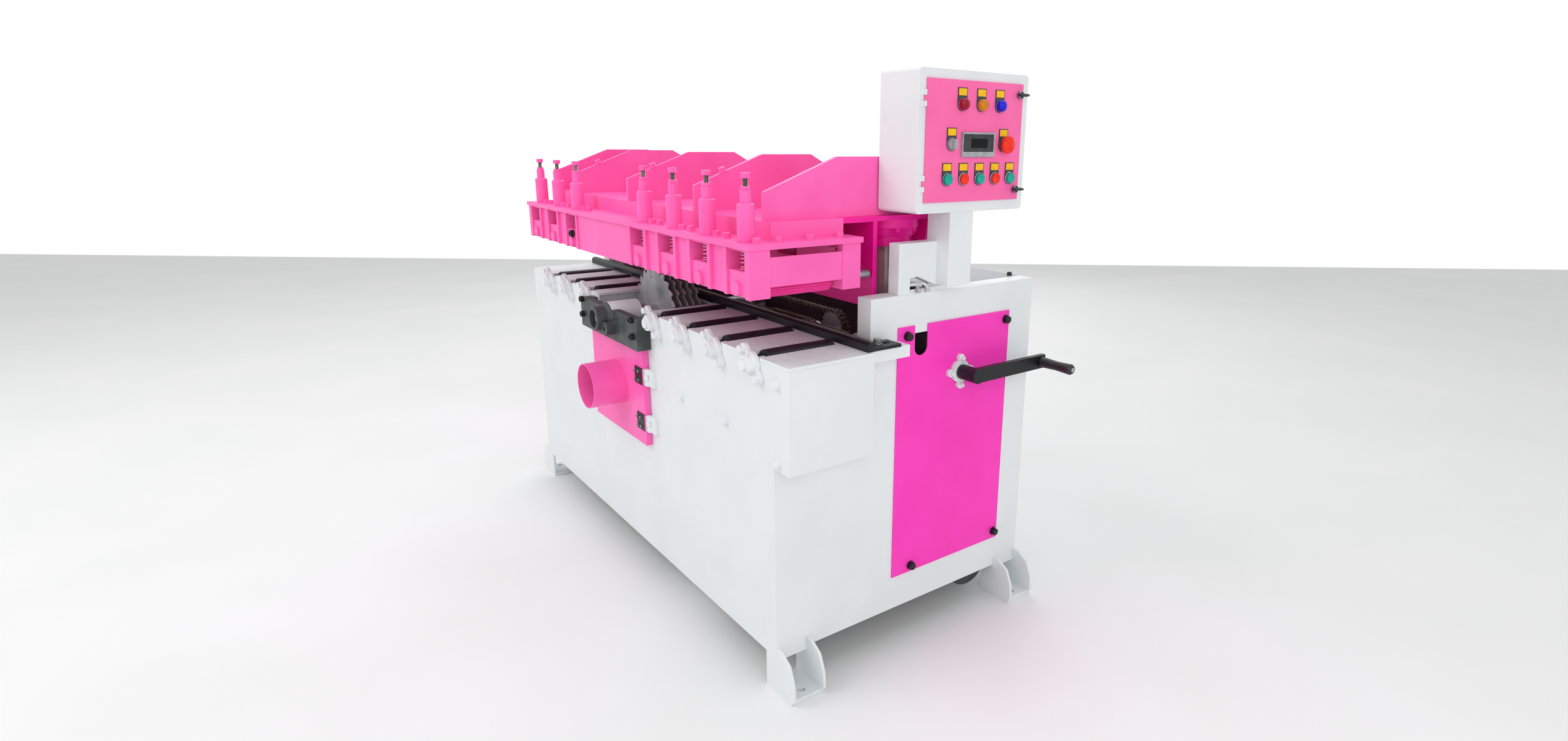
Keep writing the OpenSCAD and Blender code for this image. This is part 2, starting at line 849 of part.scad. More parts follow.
module saw_arbor() {
    collar_start = front + barrel_end + 1;
    color(steel) {
        bar_y(arbor_x, arbor_z, arbor_d, front - 56, front + pulley_back);
        bar_y(arbor_x, arbor_z, arbor_d - 9, front - 72, front - 56);
        difference() {
            union() {
                bar_y(arbor_x, arbor_z, collar_d, collar_start, front + first_blade);
                bar_y(arbor_x, arbor_z, collar_d + 10, collar_start + 12, collar_start + 22);
                for (i = [0:blade_count - 2])
                    bar_y(arbor_x, arbor_z, collar_d, front + first_blade + i * blade_pitch + blade_t,
                          front + first_blade + (i + 1) * blade_pitch);
                bar_y(arbor_x, arbor_z, collar_d, front + last_blade + blade_t, front + table_depth - 1);
            }
            bar_y(arbor_x, arbor_z, arbor_d, front, front + table_depth);
        }
        translate([arbor_x, front + pulley_back, arbor_z])
            pulley(arbor_pulley_d);
    }
}

module motor_pulley() {
    color(steel) {
        translate([motor_x, front + pulley_back, motor_z])
            pulley(motor_pulley_d);
        bar_y(motor_x, motor_z, motor_shaft_d, front + pulley_back - 20, front + pulley_back);
    }
}

// One vee belt's outline round both pulleys, at depth t inside the pulley rims.
module belt_outline(t) {
    hull() {
        translate([arbor_x, arbor_z])
            circle(d = arbor_pulley_d - 2 * t);
        translate([motor_x, motor_z])
            circle(d = motor_pulley_d - 2 * t);
    }
}

module drive_belts() {
    pitch = pulley_w / grooves;
    color(black)
        for (k = [0:grooves - 1])
            slab_y(front + pulley_back + (k + 0.38) * pitch, front + pulley_back + (k + 0.62) * pitch)
                difference() {
                    belt_outline(0);
                    belt_outline(10.6);
                }
}

// The saw motor with its cooling fins, end bells, feet and terminal box.
module saw_motor() {
    y1 = front + pulley_back - 21;
    y0 = y1 - motor_len;
    fins = 24;
    difference() {
        union() {
            bar_y(motor_x, motor_z, motor_d - 30, y0, y1);
            slab_y(y0 + 40, y1 - 50)
                translate([motor_x, motor_z])
                    for (i = [0:fins / 2 - 1])
                        rotate(i * 360 / fins)
                            square([motor_d, 4], center = true);
            bar_y(motor_x, motor_z, motor_d - 10, y0 + 14, y0 + 40);
            bar_y(motor_x, motor_z, motor_d - 6, y1 - 50, y1);
            block([motor_x - 60, y0 + 50, motor_z + motor_d / 2 - 20],
                  [motor_x + 60, y0 + 140, motor_z + motor_d / 2 + 50]);
            for (s = [-1, 1])
                block([motor_x + s * 90 - 25, y0 + 30, bed_z],
                      [motor_x + s * 90 + 25, y1 - 30, bed_z + 60]);
        }
        bar_y(motor_x, motor_z, motor_shaft_d + 4, y1 - 12, y1 + cut);
    }
}

// The feed gearmotor under the outfeed end, on its hanger.
module feed_motor() {
    y = feed_motor_y;
    z = feed_motor_z;
    x0 = end_x - 252;
    x1 = end_x - 20;
    hanger_z = z + 105;
    bar_x(y, z, feed_motor_d, x0, x1);
    bar_x(y, z, feed_motor_d + 20, x1 - 30, x1);
    bar_x(y, z, feed_motor_d + 20, x0, x0 + 22);
    block([x0 + 32, y - 40, z], [x1 - 40, y + 40, hanger_z]);
    block([x0 + 32, y - 20, hanger_z - 10], [x1 - 40, back - sheet, hanger_z]);
}

module motors() {
    color(black) {
        saw_motor();
        feed_motor();
    }
}

module columns() {
    color("#c9ccd0")
        for (x = column_x)
            translate([x, column_y, channel_z]) {
                cylinder(d = column_d + 20, h = 16);
                cylinder(d = column_d, h = column_top - channel_z);
            }
}

// One side rail in the head's frame: windows for the slide blocks, pillars beside them.
module side_rail(y_in, y_out) {
    y_low = min(y_in, y_out);
    y_high = max(y_in, y_out);
    out = y_out > y_in ? [y_high, y_high + pillar_t] : [y_low - pillar_t, y_low];
    difference() {
        union() {
            block([head_l, y_low, head_z], [head_r, y_high, rail_top]);
            for (x = roller_x, s = [-1, 1])
                block([x + s * (window_w / 2 + pillar_w) - (s > 0 ? pillar_w : 0), out[0], head_z],
                      [x + s * (window_w / 2 + pillar_w) + (s > 0 ? 0 : pillar_w), out[1], rail_top]);
            for (x = [head_l, head_r - pillar_w])
                block([x, out[0], head_z], [x + pillar_w, out[1], rail_top]);
            block([roller_x[4] + window_w / 2 + pillar_w, out[0] + (y_out > y_in ? 0 : 4), head_z],
                  [roller_x[3] - window_w / 2 - pillar_w, out[1] - (y_out > y_in ? 4 : 0), rail_top]);
        }
        for (x = roller_x)
            block([x - window_w / 2, y_low - cut, window_z],
                  [x + window_w / 2, y_high + cut, window_z + window_h]);
    }
}

module head_rails() {
    color(pink) {
        difference() {
            side_rail(rail_front + rail_t, rail_front);
            for (x = roller_x)
                translate([x, post_y, window_z])
                    cylinder(d = screw_d + 1, h = rail_h);
        }
        side_rail(rail_rear - rail_t, rail_rear);
        for (x = roller_x)
            translate([x, rear_post_y, window_z + window_h - seat_t])
                cylinder(d = seat_d, h = seat_t + 1);
        for (x = [head_l + 2, head_r - 8])
            block([x, rail_front + rail_t, head_z + 12], [x + 6, rail_rear - rail_t, rail_top - 17]);
    }
}

module rib_outline() {
    y0 = beam_front + 2;
    z1 = beam_top + rib_h;
    y1 = y0 + rib_slope[0] + rib_flat;
    polygon([[y0, beam_top], [y0, z1 - rib_slope[1]], [y0 + rib_slope[0], z1], [y1, z1],
             [y1 + rib_tail[0], z1 - rib_tail[1]], [carriage_back - 8, beam_top + 30],
             [carriage_back, beam_top]]);
}

module head_bridge() {
    wall = 6;
    color(pink) {
        difference() {
            union() {
                block([head_l - 5, head_front - 4, rail_top], [head_r + 5, head_back + 4, plate_top]);
                block([beam_l, beam_front, plate_top], [beam_r, beam_back, beam_top]);
            }
            block([beam_l + wall, beam_front + wall, plate_top],
                  [beam_r - wall, beam_back - wall, beam_top - wall]);
            for (x = [head_l + 200, head_r - 200])
                translate([x, (beam_front + beam_back) / 2, rail_top - cut])
                    cylinder(d = 80, h = plate_t + 2 * cut);
            for (x = roller_x)
                translate([x, post_y, rail_top - cut])
                    cylinder(d = screw_d + 2, h = plate_t + 2 * cut);
        }
        for (x = rib_x)
            slab_x(x - rib_t / 2, x + rib_t / 2)
                rib_outline();
    }
}

// The carriage behind the head: deck, front apron, column bushes and the lift nut.
module rear_apron() {
    deck_z = beam_top - carriage_t;
    color("#e0007f")
        difference() {
            union() {
                block([beam_l, beam_back, deck_z], [beam_r, carriage_back, beam_top]);
                block([beam_l, apron_y, apron_z], [beam_r, apron_y + apron_t, deck_z]);
                for (x = column_x)
                    translate([x, column_y, deck_z - bush_h]) {
                        cylinder(d = column_d + 60, h = bush_h);
                        translate([0, 0, bush_h - 2 * flange_h])
                            cylinder(d1 = column_d + 74, d2 = column_d + 86, h = flange_h);
                        translate([0, 0, bush_h - flange_h])
                            cylinder(d = column_d + 96, h = flange_h);
                    }
                block([lift_x - tongue_w / 2, carriage_back, deck_z],
                      [lift_x + tongue_w / 2, lift_y + 42, beam_top]);
                translate([lift_x, lift_y, deck_z - nut_h])
                    cylinder(d = lift_d + 34, h = nut_h);
            }
            for (x = column_x)
                translate([x, column_y, deck_z - bush_h - cut])
                    cylinder(d = column_d + 2 * run, h = bush_h + carriage_t + 2 * cut);
            translate([lift_x, lift_y, deck_z - nut_h - cut])
                cylinder(d = lift_d + 2 * run, h = nut_h + carriage_t + 2 * cut);
        }
}

module spring_posts() {
    color(pink)
        for (x = roller_x)
            translate([x, post_y, plate_top])
                difference() {
                    rotate_extrude()
                        polygon([[0, 0], [post_d / 2, 0], [post_d / 2, post_h - 3],
                                 [post_d / 2 - 3, post_h],
                                 [screw_d / 2 + 6, post_h], [screw_d / 2 + 6, post_h + neck_h],
                                 [0, post_h + neck_h]]);
                    translate([0, 0, -cut])
                        cylinder(d = screw_d + 2 * run, h = post_h + neck_h + 2 * cut);
                }
}

module adjuster_screws() {
    head_af = screw_d * 1.6;
    head_rise = plate_top + post_h + neck_h + 24;
    color(steel)
        for (x = roller_x)
            translate([x, post_y, 0]) {
                translate([0, 0, window_z + window_h - seat_t])
                    cylinder(d = seat_d, h = seat_t - 1);
                translate([0, 0, window_z + window_h - seat_t])
                    cylinder(d = screw_d, h = head_rise - window_z - window_h + seat_t);
                translate([0, 0, plate_top + post_h + neck_h])
                    cylinder(d = head_af / cos(30), h = 8, $fn = 6);
                translate([0, 0, head_rise])
                    cylinder(d = head_af / cos(30), h = 11, $fn = 6);
            }
}

// Points of a coil's centre line, with its ends running square to the seats.
coil_r = (spring_d - spring_wire) / 2;
coil_rings = 8;
coil_rise = spring_len - 2 * spring_wire;
coil_path = concat(
    [[coil_r, 0, 0]],
    [for (k = [0:spring_turns * coil_rings])
        let (a = k * 360 / coil_rings)
            [coil_r * cos(a), coil_r * sin(a), spring_wire + coil_rise * k / (spring_turns * coil_rings)]],
    [[coil_r, 0, spring_len]]);
coil_gap = coil_rise / spring_turns - spring_wire;
echo(coil_gap = coil_gap);

// A tube of six sides swept along a path.
module tube(path, d) {
    sides = 6;
    n = len(path);
    function along(k) = let (t = path[min(k + 1, n - 1)] - path[max(k - 1, 0)]) t / norm(t);
    rings = [for (k = [0:n - 1])
        let (t = along(k), radial = [path[k][0], path[k][1], 0] / coil_r,
             u = radial - (radial * t) * t, v = cross(t, u / norm(u)))
            for (s = [0:sides - 1])
                path[k] + d / 2 * (cos(s * 360 / sides) * u / norm(u) + sin(s * 360 / sides) * v)];
    walls = [for (k = [0:n - 2], s = [0:sides - 1])
        let (a = k * sides + s, b = k * sides + (s + 1) % sides)
            each [[a, b + sides, b], [a, a + sides, b + sides]]];
    caps = [for (s = [1:sides - 2]) each [[0, s, s + 1],
        [(n - 1) * sides, (n - 1) * sides + s + 1, (n - 1) * sides + s]]];
    polyhedron(rings, concat(walls, caps));
}

module pressure_springs() {
    color("#4b4e52")
        for (x = roller_x, y = [post_y, rear_post_y])
            translate([x, y, spring_z])
                tube(coil_path, spring_wire);
}

// A sprung pair of slide blocks that carries one upper roller.
module slide_block(i) {
    x = roller_x[i];
    color(pink)
        for (side = [-1, 1]) {
            y_in = side < 0 ? rail_front + rail_t : rail_rear - rail_t;
            y_out = side < 0 ? rail_front - 2 : rail_rear + 2;
            nose = side < 0 ? [y_out - 8, y_out] : [y_out, y_out + 8];
            difference() {
                union() {
                    block([x - block_slide_w / 2, min(y_in, y_out), block_z],
                          [x + block_slide_w / 2, max(y_in, y_out), block_z + block_slide_h]);
                    bar_y(x, upper_z, upper_shaft_d + 12, nose[0], nose[1]);
                }
                bar_y(x, upper_z, upper_shaft_d + 2 * run,
                      side < 0 ? nose[0] + 4 : y_in - cut, side < 0 ? y_in + cut : nose[1] + cut);
            }
        }
}

// One upper roller: a fluted body on a shaft that ends short of the apron.
module upper_roller(i) {
    x = roller_x[i];
    r = upper_d / 2;
    step = 360 / flutes;
    color(pink)
        slab_y(rail_front + rail_t + 4, rail_rear - rail_t - 4)
            translate([x, upper_z])
                polygon([for (k = [0:flutes - 1], p = [[-0.3, r - 2.5], [-0.15, r], [0.15, r],
                         [0.3, r - 2.5]])
                    p[1] * [cos((k + p[0]) * step), sin((k + p[0]) * step)]]);
    color(steel)
        bar_y(x, upper_z, upper_shaft_d, rail_front - 5, apron_y - 4);
}

module lift_screw() {
    color(steel)
        translate([lift_x, lift_y, thrust_z]) {
            translate([0, 0, thrust_t])
                cylinder(d = lift_d, h = lift_top - thrust_z - thrust_t);
            cylinder(d = journal_d, h = thrust_t + cut);
            translate([0, 0, thrust_t + 8])
                cylinder(d1 = 3 * lift_d, d2 = lift_d + 20, h = bevel_t);
        }
}

module crank() {
    grip_y = lift_y + crank_r;
    color(black) {
        bar_x(lift_y, crank_h, lower_shaft_d, lift_x + 40, hub_x + 10);
        translate([lift_x + 40, lift_y, crank_h])
            rotate([0, 90, 0])
                cylinder(d1 = 46, d2 = 84, h = bevel_t - 1);
        bar_x(lift_y, crank_h, hub_d, hub_x, hub_x + hub_len);
        block([arm_x, lift_y, crank_h - arm_w / 2], [arm_x + arm_t, grip_y + 16, crank_h + arm_w / 2]);
    }
    color(steel)
        bar_x(grip_y, crank_h, grip_pin_d, arm_x + arm_t, arm_x + arm_t + grip_len + 2);
}

module crank_grip() {
    grip_x = arm_x + arm_t + gap;
    grip_y = lift_y + crank_r;
    color("#6a6d70")
        difference() {
            translate([grip_x, grip_y, crank_h])
                rotate([0, 90, 0])
                    rotate_extrude()
                        polygon([[0, 0], [grip_d / 2 - 2, 0], [grip_d / 2, 4],
                                 [grip_d / 2 - 2, grip_len / 2],
                                 [grip_d / 2, grip_len - 6], [grip_d / 2 - 4, grip_len], [0, grip_len]]);
            bar_x(grip_y, crank_h, grip_pin_d + 2 * run, grip_x - cut, grip_x + grip_len + cut);
        }
}

// The chip door: a folded pan with the dust spigot, and its half of the hinges.
module chip_door() {
    x0 = chip_x - chip_w / 2;
    x1 = chip_x + chip_w / 2;
    y0 = front - chip_proud;
    third = hinge_h / 3;
    color(pink)
        difference() {
            union() {
                block([x0, y0, chip_z], [x1, y0 + chip_t, chip_top]);
                for (x = [x0, x1 - chip_t])
                    block([x, y0, chip_z], [x + chip_t, front - 1, chip_top]);
                for (z = [chip_z, chip_top - chip_t])
                    block([x0, y0, z], [x1, front - 1, z + chip_t]);
                bar_y(chip_x, spigot_z, spigot_d, y0 - spigot_len, y0 + chip_t);
                for (z = hinge_z)
                    block([hinge_x - 60, y0 - 3, z], [x1, y0, z + hinge_h]);
                for (z = hinge_z) {
                    block([x1 - 6, hinge_y - hinge_d / 2, z + third],
                          [hinge_x - 2, hinge_y + 2, z + 2 * third - gap]);
                    translate([hinge_x, hinge_y, z + third])
                        cylinder(d = hinge_d, h = third - gap);
                }
            }
            bar_y(chip_x, spigot_z, spigot_d - 2 * spigot_wall, y0 - spigot_len - cut, front);
            for (z = hinge_z)
                translate([hinge_x, hinge_y, z])
                    cylinder(d = pin_d + 2 * run, h = hinge_h);
        }
}

// The arm on the end frame, its underside sloping down to the mast that carries the box.
module control_bracket() {
    leg_back = bracket_y + bracket_w;
    color(white) {
        slab_x(end_x - bracket_w, end_x)
            polygon([[bracket_y, top_z], [leg_back, top_z], [leg_back, top_z + 38],
                     [leg_back + 24, top_z + 40],
                     [mast_y, mast_z], [mast_y + 10, mast_z], [mast_y + 10, bracket_top],
                     [bracket_y, bracket_top]]);
        block([end_x - bracket_w + 2, mast_y, mast_z], [box_x - 2, mast_y + mast_w, box_z]);
    }
}

// The box's half of a door hinge: two knuckles on a leaf, and the pin through them.
module box_hinge(z) {
    third = knuckle_h / 3;
    for (k = [0, 2])
        translate([knuckle_x, knuckle_y, z + k * third])
            cylinder(d = knuckle_d, h = third - gap);
    translate([knuckle_x, knuckle_y, z])
        cylinder(d = knuckle_pin_d, h = knuckle_h - gap);
    for (k = [0, 2])
        block([box_x, knuckle_y - 12, z + k * third], [box_x + 2, knuckle_y, z + (k + 1) * third - gap]);
}

module control_box() {
    color(white) {
        difference() {
            union() {
                block([box_x - box_d, box_y + box_round, box_z],
                      [box_x, box_y + box_w - box_round, box_z + box_h]);
                block([box_x - box_d, box_y, box_z + box_round],
                      [box_x, box_y + box_w, box_z + box_h - box_round]);
                for (y = [box_y + box_round, box_y + box_w - box_round],
                     z = [box_z + box_round, box_z + box_h - box_round])
                    bar_x(y, z, 2 * box_round, box_x - box_d, box_x);
            }
            block([box_x - box_d + box_wall, box_y + box_round, box_z + box_round],
                  [box_x - box_wall, box_y + box_w - box_round, box_z + box_h - box_round]);
            block([box_x - 10, panel_y + 10, panel_z + 10],
                  [box_x + cut, panel_y + door_w - 10, panel_z + door_h - 10]);
        }
        for (z = knuckle_z)
            box_hinge(z);
    }
}

// A cable from the bracket's arm, over the rear box and down into it.
module cable(x, reach) {
    bend = 20;
    d = 8;
    start = bracket_y + bracket_w;
    bar_y(x, top_z + bend, d, start, start + reach);
    translate([x, start + reach, top_z])
        rotate([90, 0, 90])
            rotate_extrude(angle = 90)
                translate([bend, 0])
                    circle(d = d);
    translate([x, start + reach + bend, top_z])
        cylinder(d = d + 8, h = 5);
}

module control_cables() {
    color("#d5d8da") {
        cable(cable_x[0], 30);
        cable(cable_x[1], 48);
    }
}

module button_hole(y, z, d) {
    bar_x(y, z, d, panel_x - cut, face_x + cut);
}

module box_door() {
    third = knuckle_h / 3;
    color(pink)
        difference() {
            union() {
                block([panel_x, panel_y, panel_z], [face_x, panel_y + door_w, panel_z + door_h]);
                for (z = knuckle_z) {
                    block([panel_x, knuckle_y, z + third], [face_x, panel_y + cut, z + 2 * third - gap]);
                    translate([knuckle_x, knuckle_y, z + third])
                        cylinder(d = knuckle_d, h = third - gap);
                }
            }
            for (z = knuckle_z)
                translate([knuckle_x, knuckle_y, z])
                    cylinder(d = knuckle_pin_d + 2 * run, h = knuckle_h);
            for (y = button_y)
                button_hole(y, button_z, stem_d + 1);
            button_hole(selector_y, switch_z, stem_d + 1);
            button_hole(estop_y, switch_z, stem_d + 5);
            for (z = latch_z)
                button_hole(latch_y, z, stem_d - 3);
        }
}

module bezel(y, z, d, hole) {
    difference() {
        bar_x(y, z, d, face_x, face_x + bezel_t);
        bar_x(y, z, hole, face_x - cut, face_x + bezel_t + cut);
    }
}

module label(y, z) {
    block([face_x, y - label_w / 2, z], [face_x + label_t, y + label_w / 2, z + label_h]);
}

// Lamps, display, bezels and blank label plates on the box door.
module panel_fittings() {
    color("#303236") {
        for (y = button_y) {
            bezel(y, button_z, button_d + 6, button_d + 1);
            label(y, button_z + 17);
        }
        for (y = lamp_y) {
            translate([face_x, y, lamp_z])
                rotate([0, 90, 0])
                    rotate_extrude()
                        polygon([[0, 0], [14, 0], [14, 4], [11, 5], [11, 13], [7, 17], [0, 18]]);
            label(y, lamp_z + 17);
        }
        bezel(selector_y, switch_z, 30, 25);
        label(selector_y, switch_z + 18);
        bezel(estop_y, switch_z, 32, 17);
        label(estop_y, switch_z + 22);
        difference() {
            block([face_x, panel_y + 108, switch_z - 28], [face_x + 6, panel_y + 215, switch_z + 27]);
            block([face_x + 4, panel_y + 120, switch_z - 18], [face_x + 7, panel_y + 203, switch_z + 19]);
        }
    }
}

module push_button(i) {
    color(i % 2 == 0 ? "#13a88f" : "#e5352b") {
        bar_x(button_y[i], button_z, button_d, face_x + button_travel + 1, face_x + button_travel + 7);
        bar_x(button_y[i], button_z, stem_d, panel_x, face_x + button_travel + 1);
    }
}

module estop_button() {
    color("#e01f1f") {
        translate([face_x + 11, estop_y, switch_z])
            rotate([0, 90, 0])
                rotate_extrude()
                    polygon([[0, 0], [18, 0], [20, 3], [20, 9], [17, 13], [0, 15]]);
        bar_x(estop_y, switch_z, stem_d + 4, panel_x, face_x + 11);
    }
}

module selector_switch() {
    color("#8e9296") {
        bar_x(selector_y, switch_z, 24, face_x + gap, face_x + 8);
        bar_x(selector_y, switch_z, stem_d, panel_x, face_x + gap);
        block([face_x + 8, selector_y - 4, switch_z - 11], [face_x + 18, selector_y + 4, switch_z + 11]);
    }
}

module box_latch(i) {
    z = latch_z[i];
    color(black) {
        bar_x(latch_y, z, stem_d - 4, panel_x, face_x + gap);
        bar_x(latch_y, z, 18, face_x + gap, face_x + 8);
        block([face_x + 8, latch_y - 16, z - 4], [face_x + 20, latch_y + 16, z + 4]);
    }
}

cabinet();
rear_cover();
feet();
table_plates();
fence();
end_doors();
arbor_bearings();
flange_bearings();
motors();
drive_belts();
feed_chains();
columns();
control_bracket();
control_box();
control_cables();
saw_arbor();
saw_blades();
motor_pulley();
head_rails();
head_bridge();
rear_apron();
spring_posts();
adjuster_screws();
pressure_springs();
lift_screw();
crank();
crank_grip();
chip_door();
box_door();
panel_fittings();
selector_switch();
estop_button();
for (i = [0:1])
    box_latch(i);
for (i = [0:6]) {
    lower_roller(i);
    upper_roller(i);
    slide_block(i);
}
for (i = [0:4])
    push_button(i);
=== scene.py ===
import json
import math
import bpy
from mathutils import Matrix, Vector


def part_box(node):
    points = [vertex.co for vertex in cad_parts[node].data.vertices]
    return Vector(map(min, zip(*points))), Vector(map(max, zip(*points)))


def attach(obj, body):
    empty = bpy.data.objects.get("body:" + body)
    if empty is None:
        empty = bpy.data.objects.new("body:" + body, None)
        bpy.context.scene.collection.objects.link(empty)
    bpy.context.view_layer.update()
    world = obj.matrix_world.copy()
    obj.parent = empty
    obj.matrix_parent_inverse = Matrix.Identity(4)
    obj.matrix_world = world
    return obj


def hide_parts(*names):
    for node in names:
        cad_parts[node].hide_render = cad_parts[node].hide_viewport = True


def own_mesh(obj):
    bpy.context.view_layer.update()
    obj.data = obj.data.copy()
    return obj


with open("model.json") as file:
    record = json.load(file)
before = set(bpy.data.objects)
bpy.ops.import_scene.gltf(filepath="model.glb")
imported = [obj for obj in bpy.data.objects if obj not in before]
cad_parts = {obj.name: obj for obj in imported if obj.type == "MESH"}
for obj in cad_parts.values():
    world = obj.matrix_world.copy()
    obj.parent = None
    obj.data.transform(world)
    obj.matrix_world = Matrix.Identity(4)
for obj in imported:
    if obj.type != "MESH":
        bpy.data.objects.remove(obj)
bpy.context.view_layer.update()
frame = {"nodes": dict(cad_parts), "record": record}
nodes = frame["nodes"]
bodyOf = {n: b for b, members in frame["record"]["behaviour"]["bodies"].items() for n in members}
mm = 0.001


def low(node, axis):  # a CAD node's lowest place along an axis, in mm
    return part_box(node)[0]["xyz".index(axis)] / mm


def high(node, axis):
    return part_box(node)[1]["xyz".index(axis)] / mm


def mid(node, axis):
    return (low(node, axis) + high(node, axis)) / 2


# Driving places taken from the frame
doorSheet, columnRadius = 4, 40
frontY = low("table_plates", "y")
tableTop = high("table_plates", "z")
endX = high("end_doors", "x") - doorSheet
plateTop = low("spring_posts", "z")
stationX = [mid(f"upper_roller_{i}", "x") for i in range(1, 8)]
arborX, arborZ = mid("saw_blades", "x"), mid("saw_blades", "z")
columnX = [high("columns", "x") - columnRadius, low("columns", "x") + columnRadius]
columnY = mid("columns", "y")
railFront = low("head_rails", "y")
print("frame loaded:", len(nodes), "nodes")


# Materials

def linear(hexColour):
    parts = [int(hexColour[i:i + 2], 16) / 255 for i in (1, 3, 5)]
    return [c / 12.92 if c <= 0.04045 else ((c + 0.055) / 1.055) ** 2.4 for c in parts] + [1.0]


def perMm(size):  # texture scale that repeats about every so many millimetres
    return 1000 / size


def addNode(mat, kind, settings=None, inputs=None, stops=None):
    node = mat.node_tree.nodes.new("ShaderNode" + kind)
    for key, value in (settings or {}).items():
        setattr(node, key, value)
    for key, value in (inputs or {}).items():
        if isinstance(value, bpy.types.NodeSocket):
            mat.node_tree.links.new(value, node.inputs[key])
        else:
            node.inputs[key].default_value = value
    for i, (place, colour) in enumerate(stops or []):
        points = node.color_ramp.elements
        point = points[i] if i < len(points) else points.new(place)
        point.position = place
        point.color = colour
    return node


def newMaterial(name):
    mat = bpy.data.materials.new(name)
    mat.use_nodes = True
    mat.node_tree.nodes.clear()
    return mat, addNode(mat, "TexCoord").outputs["Object"]


def showShader(mat, shader):
    addNode(mat, "OutputMaterial", inputs={"Surface": shader.outputs[0]})
    return mat


def grey(level):
    return [level, level, level, 1.0]


def edgeTurn(mat, width):  # 1 on open faces, less within so many millimetres of an edge
    softened = addNode(mat, "Bevel", {"samples": 4}, {"Radius": width * mm})
    face = addNode(mat, "NewGeometry")
    return addNode(mat, "VectorMath", {"operation": "DOT_PRODUCT"}, {
        0: softened.outputs["Normal"], 1: face.outputs["Normal"]}).outputs["Value"]


# Sprayed enamel on sheet steel: orange peel, faint clouds in the coat, paler rubbed edges.
def sprayedEnamel(name, hexColour, shadeHex, rubbedHex, roughness, coat, specular=0.25):
    mat, place = newMaterial(name)
    clouds = addNode(mat, "TexNoise", inputs={"Vector": place, "Scale": perMm(140), "Detail": 5.0})
    tint = addNode(mat, "ValToRGB", inputs={"Fac": clouds.outputs["Fac"]},
                   stops=[(0.32, linear(shadeHex)), (0.62, linear(hexColour))])
    specks = addNode(mat, "TexNoise", inputs={"Vector": place, "Scale": perMm(6), "Detail": 6.0})
    rubbed = addNode(mat, "Math", {"operation": "MULTIPLY_ADD"},
                     {0: specks.outputs["Fac"], 1: -0.1, 2: edgeTurn(mat, 2.5)})
    rim = addNode(mat, "ValToRGB", inputs={"Fac": rubbed.outputs[0]},
                  stops=[(0.76, grey(0.4)), (0.9, grey(0))])
    colour = addNode(mat, "MixRGB", inputs={"Fac": rim.outputs["Color"], "Color1": tint.outputs["Color"],
                                            "Color2": linear(rubbedHex)})
    dulled = addNode(mat, "MapRange", inputs={"Value": clouds.outputs["Fac"], "To Min": roughness - 0.06,
                                              "To Max": roughness + 0.1})
    peel = addNode(mat, "TexNoise", inputs={"Vector": place, "Scale": perMm(3.5), "Detail": 2.0})
    bump = addNode(mat, "Bump", inputs={"Height": peel.outputs["Fac"], "Strength": 0.06, "Distance": 0.0006})
    return showShader(mat, addNode(mat, "BsdfPrincipled", inputs={
        "Base Color": colour.outputs["Color"], "Roughness": dulled.outputs["Result"],
        "Normal": bump.outputs["Normal"], "Coat Weight": coat, "Coat Roughness": 0.2,
        "Specular IOR Level": specular}))


# Machined steel: fine tool lines along one way, which also break up the gloss, under darker clouds of oil.
def machinedSteel(name, hexColour, oilHex, roughness, lines, lineStretch, metallic=1.0):
    mat, place = newMaterial(name)
    stretch = addNode(mat, "Mapping", inputs={"Vector": place, "Scale": lineStretch})
    tool = addNode(mat, "TexNoise", inputs={
        "Vector": stretch.outputs[0], "Scale": perMm(lines), "Detail": 4.0})
    oil = addNode(mat, "TexNoise", inputs={"Vector": place, "Scale": perMm(70), "Detail": 6.0})
    both = addNode(mat, "MixRGB", {"blend_type": "MULTIPLY"}, {
        "Fac": 0.5, "Color1": oil.outputs["Fac"], "Color2": tool.outputs["Fac"]})
    colour = addNode(mat, "ValToRGB", inputs={"Fac": both.outputs["Color"]},
                     stops=[(0.2, linear(oilHex)), (0.48, linear(hexColour))])
    sheen = addNode(mat, "MapRange", inputs={"Value": tool.outputs["Fac"], "To Min": roughness - 0.1,
                                             "To Max": roughness + 0.12})
    bump = addNode(mat, "Bump", inputs={"Height": tool.outputs["Fac"], "Strength": 0.12, "Distance": 0.0003})
    return showShader(mat, addNode(mat, "BsdfPrincipled", inputs={
        "Base Color": colour.outputs["Color"], "Metallic": metallic, "Roughness": sheen.outputs["Result"],
        "Normal": bump.outputs["Normal"]}))


